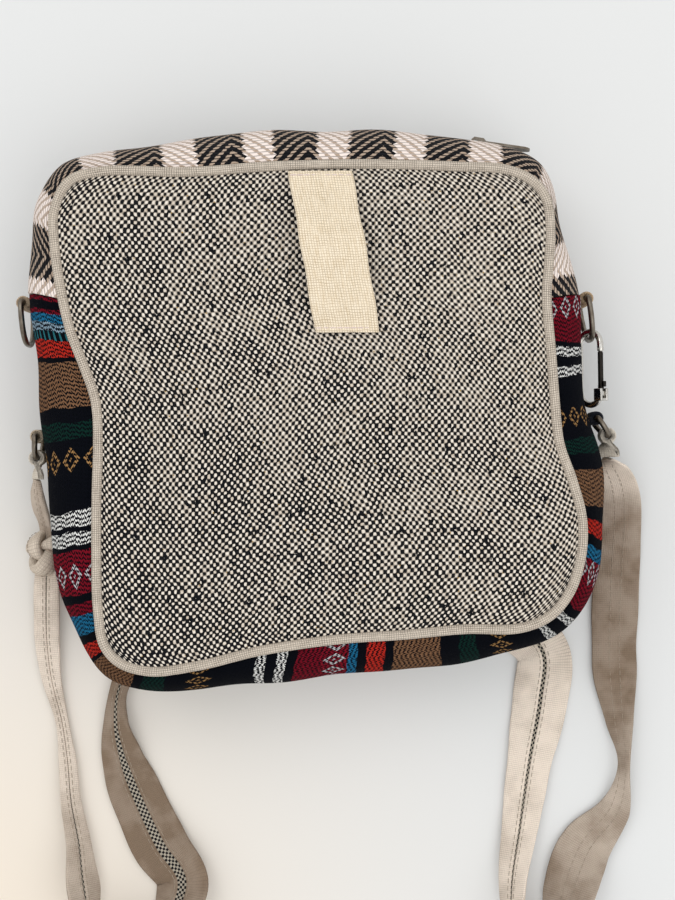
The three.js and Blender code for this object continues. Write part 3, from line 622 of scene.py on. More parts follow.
@dataclass(frozen=True)
class SewingThread:
    """Spun polyester sewing thread: matt, twisted, so each stitch shows fine slanted plies."""

    name: str
    colour: str

    def build(self) -> Material:
        """Makes the material."""
        r = Recipe(self.name)
        place = r.add("TexCoord").outputs["Object"]
        ply = r.add("TexNoise", place, named={"Scale": 2500.0, "Detail": 2.0})
        colour = r.mixed(r.step(ply, 0.3, 0.7, 0.0, 0.35), linear(self.colour), linear("6D665E"))
        return r.finish(colour, 0.8, ply, 0.05)


@dataclass(frozen=True)
class PaintedFloor:
    """Matt painted board, pale and cool: an even field with a soft shadow, and a painted pool of warmer light near
    one corner.

    It adds a little light for rays that show it and none for those that light the bag.
    """

    name: str = "matt_painted_board"
    cool: str = "D7D8D8"
    # The tint, middle and reach of the painted pool of warmer light.
    light_pool_tint: str = "E4D8C8"
    light_pool_at: tuple[float, float, float] = (-0.2, -0.26, 0.0)
    light_pool_reach: float = 0.34
    lift: float = 0.06

    def build(self) -> Material:
        """Makes the material."""
        r = Recipe(self.name)
        away = r.add("VectorMath", r.add("TexCoord").outputs["Object"], self.light_pool_at, operation="DISTANCE")
        # Painted light: the board turns warmer towards the middle of the pool.
        share = r.step(away.outputs["Value"], 0.0, self.light_pool_reach, 1.0, 0.0)
        colour = r.mixed(share, linear(self.cool), linear(self.light_pool_tint))
        grain = r.add("TexNoise", named={"Scale": 400.0, "Detail": 2.0})
        rays = r.add("LightPath").outputs
        seen = r.add("Math", rays["Is Camera Ray"], rays["Is Glossy Ray"], operation="ADD", use_clamp=True)
        seen = r.add("Math", seen, rays["Is Transmission Ray"], operation="ADD", use_clamp=True)
        glow = r.add("Math", seen, self.lift, operation="MULTIPLY")
        lit = {"Emission_Color": colour, "Emission_Strength": glow}
        return r.finish(colour, 0.9, grain, 0.02, Specular_IOR_Level=0.1, **lit)


class Spline:
    """Centripetal curve through points, the same as the one that the CAD source uses."""

    def __init__(self, points: Sequence[Sequence[float]], closed: bool) -> None:
        """Keeps the points and whether the curve closes."""
        self.points = np.array(points, float)
        self.closed = closed
        self.count = len(self.points)

    def _neighbour(self, index: int) -> np.ndarray:
        """The point at an index, or the one reflected past an open end."""
        if self.closed:
            return self.points[index % self.count]
        if index < 0:
            return 2 * self.points[0] - self.points[1]
        if index >= self.count:
            return 2 * self.points[-1] - self.points[-2]
        return self.points[index]

    def at(self, place: float) -> np.ndarray:
        """The curve's point at a place, counted in points from the first."""
        base = math.floor(place)
        share = place - base
        if not self.closed and base >= self.count - 1:
            base, share = self.count - 2, 1.0
        four = [self._neighbour(base + k) for k in (-1, 0, 1, 2)]
        gaps = [max(float(np.sum((b - a) ** 2)) ** 0.25, 1e-4) for a, b in zip(four, four[1:])]
        before, start, end, after = four
        a, b, c = gaps
        out = ((start - before) / a - (end - before) / (a + b) + (end - start) / b) * b
        into = ((end - start) / b - (after - start) / (b + c) + (after - end) / c) * b
        square, cube = share * share, share**3
        return (
            start + out * share + (-3 * start + 3 * end - 2 * out - into) * square
            + (2 * start - 2 * end + out + into) * cube
        )

    def direction(self, place: float) -> np.ndarray:
        """The curve's unit tangent at a place."""
        step = 0.004
        low, high = place - step, place + step
        if not self.closed:
            low, high = max(low, 0.0), min(high, self.count - 1.0)
        run = self.at(high) - self.at(low)
        return run / np.linalg.norm(run)


def run_lengths(points: np.ndarray) -> np.ndarray:
    """The length along a line from its first point to each of its points."""
    return np.concatenate([[0], np.cumsum(np.linalg.norm(np.diff(points, axis=0), axis=1))])


def chart_of(along: Sequence[float] | np.ndarray, across: np.ndarray) -> np.ndarray:
    """Places on the cloth for a grid of points: each length along with each one across."""
    return np.stack(np.meshgrid(along, across, indexing="ij"), -1).reshape(-1, 2)


def grid_faces(rows: int, columns: int) -> np.ndarray:
    """Quads of a grid of points stored row by row, four point indices to a face."""
    corner = (np.arange(rows - 1)[:, None] * columns + np.arange(columns - 1)[None]).ravel()
    return np.stack([corner, corner + 1, corner + columns + 1, corner + columns], 1)


def end_caps(rows: int, columns: int) -> np.ndarray:
    """Quads that close the first and last ring of points of a strip.

    Args:
        rows: how many rings.
        columns: how many points in a ring, whose last one lies on its first.

    Returns:
        An array of four point indices to a face.
    """
    caps = []
    for base in (0, (rows - 1) * columns):
        for i in range(columns // 2):
            quad = [base + i, base + i + 1, base + columns - 2 - i, base + columns - 1 - i]
            if len(set(quad)) == 4:
                caps.append(quad if base else quad[::-1])
    return np.array(caps)


def build_mesh(
    name: str,
    points: np.ndarray,
    faces: np.ndarray,
    material: Material,
    chart: np.ndarray | None = None,
    marks: dict[str, np.ndarray] | None = None,
    flip: bool = False,
) -> Piece:
    """Makes a smooth-shaded piece from points in millimetres.

    Args:
        name: the piece's name.
        points: its points.
        faces: four point indices to a face.
        material: its finish.
        chart: a place on the cloth for each point, in millimetres.
        marks: other values for each point, by name.
        flip: turns the faces over.

    Returns:
        The new object.
    """
    mesh = bpy.data.meshes.new(name)
    order = faces[:, ::-1] if flip else faces
    mesh.from_pydata((np.asarray(points, float) * MM).tolist(), [], order.tolist())
    mesh.polygons.foreach_set("use_smooth", [True] * len(mesh.polygons))
    if chart is not None:
        layer = mesh.uv_layers.new(name="Cloth")
        corners = np.zeros(len(mesh.loops), np.int32)
        mesh.loops.foreach_get("vertex_index", corners)
        layer.data.foreach_set("uv", np.asarray(chart, np.float32)[corners].ravel())
    for key, values in (marks or {}).items():
        mesh.attributes.new(key, "FLOAT", "POINT").data.foreach_set("value", np.asarray(values, np.float32))
    mesh.validate()
    mesh.materials.append(material)
    made = bpy.data.objects.new(name, mesh)
    bpy.context.scene.collection.objects.link(made)
    return made


def hem(faces: np.ndarray, outer: np.ndarray, inner: np.ndarray) -> Shape:
    """Turns the open edges of a surface inward, so that its cloth shows a thickness there.

    Args:
        faces: the surface's quads.
        outer: its points.
        inner: the same points on the cloth's inner face.

    Returns:
        All points, all faces, and in place of a chart the outer point that each point belongs to.
    """
    edges = np.concatenate([faces[:, [i, (i + 1) % 4]] for i in range(4)])
    keys = np.sort(edges, 1)
    _, first, counts = np.unique(keys, axis=0, return_index=True, return_counts=True)
    open_edges = edges[first[counts == 1]]
    used = np.unique(open_edges)
    place = np.full(len(outer), -1)
    place[used] = len(outer) + np.arange(len(used))
    rim = np.stack([open_edges[:, 1], open_edges[:, 0], place[open_edges[:, 0]], place[open_edges[:, 1]]], 1)
    source = np.concatenate([np.arange(len(outer)), used])
    return np.concatenate([outer, inner[used]]), np.concatenate([faces, rim]), source


def tube(path: np.ndarray, radius: float, sides: int, closed: bool) -> Shape:
    """A round bar along a path.

    Args:
        path: its centre points, without the first repeated at the end.
        radius: its radius.
        sides: points round it.
        closed: whether its ends meet; open ends are drawn in to a dome.

    Returns:
        Points, faces and chart.
    """
    count = len(path)
    after = np.roll(path, -1, 0) if closed else np.vstack([path[1:], 2 * path[-1] - path[-2]])
    before = np.roll(path, 1, 0) if closed else np.vstack([2 * path[0] - path[1], path[:-1]])
    along = after - before
    along /= np.linalg.norm(along, axis=1)[:, None]
    side = np.cross(along[0], [0, 0, 1] if abs(along[0][2]) < 0.9 else [0, 1, 0])
    first = []
    for tangent in along:
        side = side - tangent * np.dot(side, tangent)
        side /= np.linalg.norm(side)
        first.append(side)
    second = np.cross(along, np.array(first))
    turn = np.linspace(0, 2 * math.pi, sides + 1)
    reach = run_lengths(path)
    circles = [np.cos(turn)[:, None] * first[i] + np.sin(turn)[:, None] * second[i] for i in range(count)]
    rows = [path[i] + radius * circles[i] for i in range(count)]
    lengths = list(reach)
    if closed:
        rows.append(rows[0])
        lengths.append(reach[-1] + np.linalg.norm(path[0] - path[-1]))
    else:
        for share in (0.75, 0.35, 0.02):
            push = radius * 0.6 * math.sqrt(1 - share * share)
            rows.insert(0, path[0] - along[0] * push + share * radius * circles[0])
            rows.append(path[-1] + along[-1] * push + share * radius * circles[-1])
            lengths.insert(0, -push)
            lengths.append(reach[-1] + push)
    points = np.array(rows).reshape(-1, 3)
    chart = chart_of(lengths, turn * radius)
    return points, grid_faces(len(rows), sides + 1), chart


def joined(parts: Sequence[Shape]) -> Shape:
    """Puts several lots of points, faces and charts together as one."""
    starts = np.cumsum([0, *(len(p) for p, _, _ in parts)])
    return (
        np.concatenate([p for p, _, _ in parts]),
        np.concatenate([f + s for (_, f, _), s in zip(parts, starts)]),
        np.concatenate([c for _, _, c in parts]),
    )


def moved(points: np.ndarray, matrix: Matrix) -> np.ndarray:
    """Points carried by a 4 by 4 matrix."""
    m = np.array(matrix, float)
    return points @ m[:3, :3].T + m[:3, 3]


def stitches(places: np.ndarray, along: np.ndarray, out: np.ndarray, length: float, radius: float) -> Shape:
    """A row of short stitches, each an arched spindle of thread.

    Args:
        places: the middle of each stitch.
        along: the direction of each.
        out: the cloth's normal at each.
        length: a stitch's length.
        radius: the thread's radius.

    Returns:
        Points, faces and chart of them all.
    """
    parts = []
    for middle, run, normal in zip(places, along, out):
        steps = np.linspace(-0.5, 0.5, 5)
        path = middle + np.outer(steps * length, run) + np.outer(radius * (0.7 - 3.2 * steps**2), normal)
        parts.append(tube(path, radius, 6, False))
    return joined(parts)


def sines(x: np.ndarray, seeds: Sequence[tuple[float, float, float]]) -> np.ndarray:
    """A sum of sine waves, each given by wavelength, height and phase."""
    return sum(height * np.sin(2 * math.pi * x / wave + phase) for wave, height, phase in seeds)


@dataclass
class Seams:
    """The bag's two outlines: the back piping's line, and the gusset's widest line outside it."""

    arch_r: float = 410.0
    arch_x: float = 4.0
    arch_top: float = 117.0
    right_seam: float = 14.0
    seam_step: float = 0.013
    # Stations round the bag, clockwise from the left ring seam: back piping x and y, crest x and y, where None
    # is on the zip's arc.
    stations: tuple = (
        (-101.6, 45.2, -118.9, 48.7), (-104.8, 66, -117.6, 70), (-105, 80, -115.6, 87),
        (-99, 92, -106, 101.5), (-86.5, 96, -89, None), (-52, 95.8, -56, None), (-16, 98.2, -18, None),
        (20, 99, 22, None), (56, 98, 58, None), (77, 96.6, 78, None), (87, 92, 90.5, 103.2),
        (92.4, 84.5, 96.5, 93), (94, 72, 100, 79), (93.4, 60, 104.8, 63.4), (92.4, 45.2, 108.6, 48.2),
        (94, 26.4, 109.6, 27), (95.6, 5, 111, 6), (97.6, -12.8, 116.2, -13.5), (102.8, -28, 118.8, -33),
        (106.8, -44, 118.5, -51), (106, -59.6, 116.3, -66.8), (101.4, -73, 110.6, -80),
        (93.4, -82.4, 100.5, -90.5), (81.6, -87, 86, -98), (60, -87.4, 62, -103.2), (36, -89.6, 36, -106.6),
        (8, -91.6, 6, -109.3), (-22, -96, -24, -112.2), (-48, -102.2, -50, -115),
        (-66.4, -104.4, -70, -114.8), (-78.5, -101, -85.5, -109.5), (-85, -93.6, -95.5, -99),
        (-87.4, -80, -102.5, -84.5), (-88, -58, -108.8, -62), (-88, -36, -111, -40),
        (-87.4, -14, -112.8, -17.7), (-88.4, 4, -114.4, 2), (-93.4, 19, -116, 18.5),
        (-98.4, 32, -117.8, 34),
    )

    def __post_init__(self) -> None:
        """Makes the two curves."""
        centre = self.arch_top - self.arch_r

        def on_arch(x: float) -> float:
            return centre + math.sqrt(self.arch_r**2 - (x - self.arch_x) ** 2)

        self.back = Spline([(x, y, 0) for x, y, _, _ in self.stations], True)
        self.crest = Spline([(x, on_arch(x) if y is None else y, 0) for _, _, x, y in self.stations], True)

    def beside(self, loop: Spline, station: float, outward: float, z: float = 0.0) -> np.ndarray:
        """A point of an outline moved outward by a distance, at a height."""
        x, y, _ = loop.at(station)
        tx, ty, _ = loop.direction(station)
        return np.array([x - ty * outward, y + tx * outward, z])


@dataclass
class BagShell:
    """The sewn shell: back and front panels, the two lengths of gusset and the piping between them."""

    seams: Seams
    front_seam_z: float = 9.0
    crest_z: float = 34.0
    back_seam_z: float = 57.0
    front_inset: float = 7.0
    front_dome: float = 12.0
    back_dome: float = 5.0
    cloth: float = 1.4
    piping_r: float = 2.0
    tuck: float = 1.7
    slot_low: float = 18.8
    slot_high: float = 29.2
    slot_end: float = 73.6
    puff: float = 0.24
    # Where the side gusset's stripes lean: the place along it, its spread, and the lean per millimetre across.
    lean: tuple[float, float, float] = (78.0, 34.0, 0.2)
    gusset_width: float = 58.0
    # The share of the gusset's width that lies between the back seam and the crest.
    back_share: float = 0.6
    # The stations between which the zip's slot lies, and between which its ends are looked for.
    slot_stations: tuple[float, float] = (3.5, 10.0)
    top_stations: tuple[float, float] = (3.0, 11.0)
    panel_size: tuple[float, float] = (193.0, 196.0)
    front_half: float = 102.0
    corners: tuple[float, float, float, float] = (3.0, 10.0, 21.5, 30.5)
    folds: tuple = (
        (72, 20, 70, 11, 95, -3.4), (84, -52, 34, 12, 60, 2.6), (-74, -8, 60, 9, 98, -3.2),
        (-50, 8, 75, 13, 96, 1.8), (-70, 78, 40, 8, 8, -2.6), (70, 76, 38, 8, -24, -2.8),
        (8, -70, 26, 10, 70, -2.6), (22, -20, 80, 16, 88, 1.6), (-76, -34, 44, 4.5, 94, -1.7),
        (-58, -58, 42, 5, 80, 1.5), (-20, -72, 36, 4.5, 86, -1.6), (42, -62, 44, 5, 101, 1.4),
        (76, 12, 52, 5, 80, -1.6), (-34, 44, 46, 5, 97, -1.4), (48, 40, 44, 5.5, 84, 1.4),
        (-88, 66, 18, 4, 62, -1.4),
    )
    pieces: list[Piece] = field(default_factory=list)
    panel: np.ndarray = field(default_factory=lambda: np.zeros((0, 3)))

    def edges(self, loop: Spline, outward: float) -> Callable[[float, float], np.ndarray]:
        """The panel's blend of its four edges.

        Args:
            loop: the outline that the panel lies in.
            outward: how far outside it the panel's edge lies.

        Returns:
            One function of two shares from -1 to 1 that gives a flat point.
        """
        top_left, top_right, bottom_right, bottom_left = self.corners
        around = len(self.seams.stations)
        cached: dict[float, np.ndarray] = {}

        def point(station: float) -> np.ndarray:
            key = round(station, 6)
            if key not in cached:
                cached[key] = self.seams.beside(loop, station, outward)
            return cached[key]

        def by_length(start: float, end: float) -> Callable[[float], np.ndarray]:
            stations = np.linspace(start, end, 201)
            line = np.array([point(station) for station in stations])
            reach = run_lengths(line)
            return lambda share: point(float(np.interp(share * reach[-1], reach, stations)))

        on_top, on_bottom = by_length(top_left, top_right), by_length(bottom_left, bottom_right)
        on_left, on_right = by_length(bottom_left, top_left + around), by_length(bottom_right, top_right)

        def blend(u: float, v: float) -> np.ndarray:
            s, t = (u + 1) / 2, (v + 1) / 2
            top, bottom, left, right = on_top(s), on_bottom(s), on_left(t), on_right(t)
            return (
                top * t + bottom * (1 - t) + left * (1 - s) + right * s
                - point(bottom_left) * (1 - s) * (1 - t) - point(bottom_right) * s * (1 - t)
                - point(top_left) * (1 - s) * t - point(top_right) * s * t
            )

        return blend

    def fold_height(self, x: np.ndarray, y: np.ndarray) -> np.ndarray:
        """Height of the soft valleys and ridges at places of the back panel."""
        total = np.zeros_like(x)
        for cx, cy, along, across, turn, rise in self.folds:
            a = math.radians(turn)
            p = ((x - cx) * math.cos(a) + (y - cy) * math.sin(a)) / along
            q = (-(x - cx) * math.sin(a) + (y - cy) * math.cos(a)) / across
            total += rise * np.exp(-p * p - q * q)
        return total

    def back_surface(self, u: np.ndarray, v: np.ndarray, flat: np.ndarray) -> np.ndarray:
        """Gives the back panel's flat points their height.

        Args:
            u: shares across the panel.
            v: shares up the panel.
            flat: the flat points.

        Returns:
            The raised points.
        """
        crown = (1 - np.abs(u) ** 2.6) * (1 - np.abs(v) ** 2.6)
        freedom = (1 - u**4) * (1 - v**4)
        x, y = flat[..., 0], flat[..., 1]
        small = sines(x + 0.3 * y, ((37, 0.28, 0.4), (23, 0.16, 2.0)))
        small = small + sines(y - 0.2 * x, ((41, 0.22, 1.0), (19, 0.12, 0.0)))
        raised = flat.copy()
        wrinkles = (self.fold_height(x, y) + small * crown) * freedom
        raised[..., 2] = self.back_seam_z + self.back_dome * crown + wrinkles
        return raised

    def back_cover(self, finish: BasketCloth, material: Material) -> Piece:
        """The back panel, with one puff of yarn in the mesh for each cell of its weave.

        Args:
            finish: the weave's own sizes.
            material: the finish's material.

        Returns:
            The piece.
        """
        blend = self.edges(self.seams.back, -self.tuck)
        coarse = 48
        marks = np.linspace(-1, 1, coarse + 1)
        flat = np.array([[blend(u, v) for u in marks] for v in marks])
        wide, high = self.panel_size
        columns = 2 * round(wide / finish.cell_across) + 1
        rows = 2 * round(high / finish.cell_along) + 1
        gu, gv = np.meshgrid(np.linspace(-1, 1, columns), np.linspace(-1, 1, rows))
        calm = (1 - gu**2) * (1 - gv**2)
        # The yarns wander a little, and sag to the right.
        swerve = 0.010 * np.sin(5.1 * gv + 1.0) + 0.007 * np.sin(9.7 * gv + 4 * gu)
        sag = 0.012 * np.sin(4.3 * gu + 0.5) + 0.006 * np.sin(11.3 * gu + 3 * gv)
        wu = gu + calm * swerve
        wv = gv + calm * sag + 0.04 * calm * gu
        fine = self.resampled(flat, wu, wv)
        points = self.back_surface(wu, wv, fine)
        self.panel = points.reshape(-1, 3).copy()
        i, j = np.meshgrid(np.arange(rows), np.arange(columns), indexing="ij")
        middle = ((i % 2) == 1) & ((j % 2) == 1)
        ivory = (((i // 2) + (j // 2)) % 2) == 0
        rim = (1 - gu**12) * (1 - gv**12)
        points[..., 2] += rim * self.puff * np.where(middle, np.where(ivory, 1.0, 0.15), -0.35)
        chart = np.stack([j * finish.cell_across / 2, i * finish.cell_along / 2], -1).reshape(-1, 2)
        outer = points.reshape(-1, 3)
        inner = outer - [0, 0, self.cloth]
        points, faces, source = hem(grid_faces(rows, columns), outer, inner)
        return build_mesh("back_cover", points, faces, material, chart[source])

    def resampled(self, grid: np.ndarray, u: np.ndarray, v: np.ndarray) -> np.ndarray:
        """Reads a coarse grid of points at finer shares, with straight lines between its points."""
        size = grid.shape[0] - 1
        a, b = np.clip((u + 1) / 2 * size, 0, size - 1e-9), np.clip((v + 1) / 2 * size, 0, size - 1e-9)
        j, i = a.astype(int), b.astype(int)
        fa, fb = (a - j)[..., None], (b - i)[..., None]
        return (
            grid[i, j] * (1 - fa) * (1 - fb) + grid[i, j + 1] * fa * (1 - fb)
            + grid[i + 1, j] * (1 - fa) * fb + grid[i + 1, j + 1] * fa * fb
        )

    def front_cover(self, finish: BasketCloth, material: Material) -> Piece:
        """The front panel, which the bag lies on.

        Args:
            finish: the weave's own sizes; not used.
            material: the finish's material.

        Returns:
            The piece.
        """
        blend = self.edges(self.seams.crest, -(self.front_inset + self.tuck))
        count = 97
        marks = np.linspace(-1, 1, count)
        flat = np.array([[blend(u, v) for u in marks] for v in marks])
        gu, gv = np.meshgrid(marks, marks)
        dome = np.clip((1 - gu * gu) * (1 - gv * gv), 0, 1) ** 1.6
        points = flat.copy()
        points[..., 2] = np.maximum(0.1, self.front_seam_z - self.front_dome * dome)
        chart = np.stack([(gu + 1) * self.front_half, (gv + 1) * self.front_half], -1).reshape(-1, 2)
        outer = points.reshape(-1, 3)
        points, faces, source = hem(grid_faces(count, count), outer, outer + [0, 0, self.cloth])
        return build_mesh("front_cover", points, faces, material, chart[source], flip=True)

    def section(self, station: float, shares: np.ndarray) -> tuple[np.ndarray, np.ndarray]:
        """The gusset's section, as the CAD source has it but closer to the piping.

        Args:
            station: where round the bag.
            shares: from 0 at the back seam to 1 at the front seam.

        Returns:
            The points of its outer face and the outward normal at each.
        """
        back_share = self.back_share
        up = np.array([0.0, 0.0, 1.0])
        back = self.seams.beside(self.seams.back, station, self.tuck)
        crest = self.seams.beside(self.seams.crest, station, 0)
        outward = self.seams.beside(self.seams.crest, station, 1) - crest
        angle = math.pi / 2 * np.minimum(shares / back_share, 1)[:, None]
        rear = back + (crest - back) * np.sin(angle)
        rear[:, 2] = (self.back_seam_z - (self.back_seam_z - self.crest_z) * (1 - np.cos(angle)))[:, 0]
        rear_out = outward * np.sin(angle) + up * np.cos(angle)
        turn = math.pi / 2 * np.maximum((shares - back_share) / (1 - back_share), 0)[:, None]
        fore = crest - outward * (self.front_inset - self.tuck) * (1 - np.cos(turn))
        fore[:, 2] = (self.crest_z - (self.crest_z - self.front_seam_z) * np.sin(turn))[:, 0]
        fore_out = outward * np.cos(turn) - up * np.sin(turn)
        on_rear = (shares <= back_share)[:, None]
        return np.where(on_rear, rear, fore), np.where(on_rear, rear_out, fore_out)

    def slot_shares(self) -> tuple[float, float]:
        """The section's shares at the two edges of the zip's slot."""
        drop = self.crest_z - self.front_seam_z
        first, last = (
            self.back_share + (1 - self.back_share) * math.asin((self.crest_z - z) / drop) / (math.pi / 2)
            for z in (self.slot_high, self.slot_low)
        )
        return first, last

    def gusset(
        self, name: str, start: float, end: float, material: Material, slot: bool, step: float = 0.9
    ) -> Piece:
        """One length of gusset, puckered a little along its seams.

        Args:
            name: the piece's name.
            start: its first station.
            end: its last station.
            material: its finish.
            slot: whether the zip's slot is cut in it.
            step: the mesh's step in millimetres.

        Returns:
            The piece.
        """
        probe = np.linspace(start, end, 400)
        line = np.array([self.seams.crest.at(s) for s in probe])
        reach = run_lengths(line)
        lengths = np.linspace(0, reach[-1], round(reach[-1] / step) + 1)
        stations = np.interp(lengths, reach, probe)
        across = round(self.gusset_width / step)
        shares = np.linspace(0, 1, across + 1)
        if slot:
            first, last = self.top_stations
            off = np.array([self.seams.crest.at(s)[0] - self.seams.arch_x for s in stations])
            off[(stations <= first) | (stations >= last)] = math.inf
            for edge in (-self.slot_end, self.slot_end):
                stations[int(np.argmin(np.abs(off - edge)))] = self.station_at(self.seams.arch_x + edge)
            for edge in self.slot_shares():
                shares[int(np.argmin(np.abs(shares - edge)))] = edge
        lengths = np.interp(stations, probe, reach)
        sections = [self.section(s, shares) for s in stations]
        outer = np.array([points for points, _ in sections])
        normal = np.array([out for _, out in sections])
        inner = outer - normal * self.cloth
        near_seam = np.exp(-shares / 0.09) + 0.6 * np.exp(-(1 - shares) / 0.09)
        pucker = sines(lengths, ((7.3, 0.30, 0.0), (11.9, 0.22, 1.0), (31.0, 0.2, 2.0)))
        soft = sines(lengths, ((63, 0.5, 0.7), (38, 0.3, 2.2)))[:, None] * np.sin(math.pi * shares)[None]
        lift = pucker[:, None] * near_seam[None] + soft * np.sin(math.pi * shares)[None]
        if slot:
            low, high = self.slot_shares()
            by_slot = np.clip(np.abs(shares - (low + high) / 2) / 0.16, 0, 1)
            lift = lift * by_slot[None]
        outer = outer + normal * (lift - 0.1)[..., None]
        rows, columns = outer.shape[:2]
        faces = grid_faces(rows, columns)
        chart = np.stack(np.meshgrid(lengths, shares * self.gusset_width, indexing="ij"), -1)
        if not slot:
            middle, spread, shear = self.lean
            chart[..., 0] += shear * np.exp(-(((lengths - middle) / spread) ** 2))[:, None] * chart[..., 1]
        chart = chart.reshape(-1, 2)
        if slot:
            low, high = self.slot_shares()
            row, column = faces[:, 0] // columns, faces[:, 0] % columns
            mid_share = (shares[column] + shares[np.minimum(column + 1, columns - 1)]) / 2
            halfway = (stations[:-1] + stations[1:]) / 2
            crest_x = np.array([self.seams.crest.at(s)[0] for s in halfway])
            first, last = self.slot_stations
            on_top = (stations[:-1] > first) & (stations[:-1] < last)
            in_length = (np.abs(crest_x - self.seams.arch_x) < self.slot_end) & on_top
            keep = ~(in_length[row] & (mid_share > low) & (mid_share < high))
            faces = faces[keep]
        points, faces, source = hem(faces, outer.reshape(-1, 3), inner.reshape(-1, 3))
        return build_mesh(name, points, faces, material, chart[source], flip=True)

    def station_at(self, x: float) -> float:
        """The station on the bag's top whose crest lies at an x."""
        low, high = self.slot_stations
        for _ in range(40):
            middle = (low + high) / 2
            low, high = (middle, high) if self.seams.crest.at(middle)[0] < x else (low, middle)
        return (low + high) / 2

    def piping(self, name: str, loop: Spline, outward: float, z: float, material: Material) -> Piece:
        """A cord of linen sewn round one panel, a little uneven.

        Args:
            name: the piece's name.
            loop: the outline that it follows.
            outward: how far outside that it lies.
            z: its height.
            material: its finish.

        Returns:
            The piece.
        """
        count = 460
        around = len(self.seams.stations)
        path = np.array([self.seams.beside(loop, i * around / count, outward, z) for i in range(count)])
        reach = run_lengths(path)
        whole = reach[-1]
        path[:, 2] += sines(reach / whole, ((1 / 19, 0.16, 0.0), (1 / 31, 0.1, 1.0), (1 / 7, 0.15, 2.0)))
        points, faces, chart = tube(path, self.piping_r, 14, True)
        return build_mesh(name, points, faces, material, chart)

    def assemble(self) -> None:
        """Makes the shell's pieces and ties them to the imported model."""
        basket = BasketCloth()
        basket_material = basket.build()
        linen = PlainLinen("natural_linen_piping", "D6CABB", "352C25", 0.9, 0.9, "AC9F90").build()
        step = self.seams.seam_step
        around = len(self.seams.stations)
        right = self.seams.right_seam
        back = self.back_cover(basket, basket_material)
        front = self.front_cover(basket, basket_material)
        top = self.gusset("top_gusset_cloth", step, right - step, ChevronCloth().build(), True)
        side = self.gusset("side_gusset_cloth", right + step, around - step, StripedCloth().build(), False)
        back_cord = self.piping("back_piping_cord", self.seams.back, 0, self.back_seam_z, linen)
        front_cord = self.piping(
            "front_piping_cord", self.seams.crest, -self.front_inset, self.front_seam_z, linen
        )
        made = (
            (back, "back_panel", "basket_cloth"), (front, "front_panel", "basket_cloth"),
            (top, "top_gusset", "chevron_cloth"), (side, "side_gusset", "striped_cloth"),
            (back_cord, "back_piping", "linen_piping"), (front_cord, "front_piping", "linen_piping"),
        )
        for piece, node, slot in made:
            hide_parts(node)
            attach(piece, "bag")
            self.pieces.append(piece)


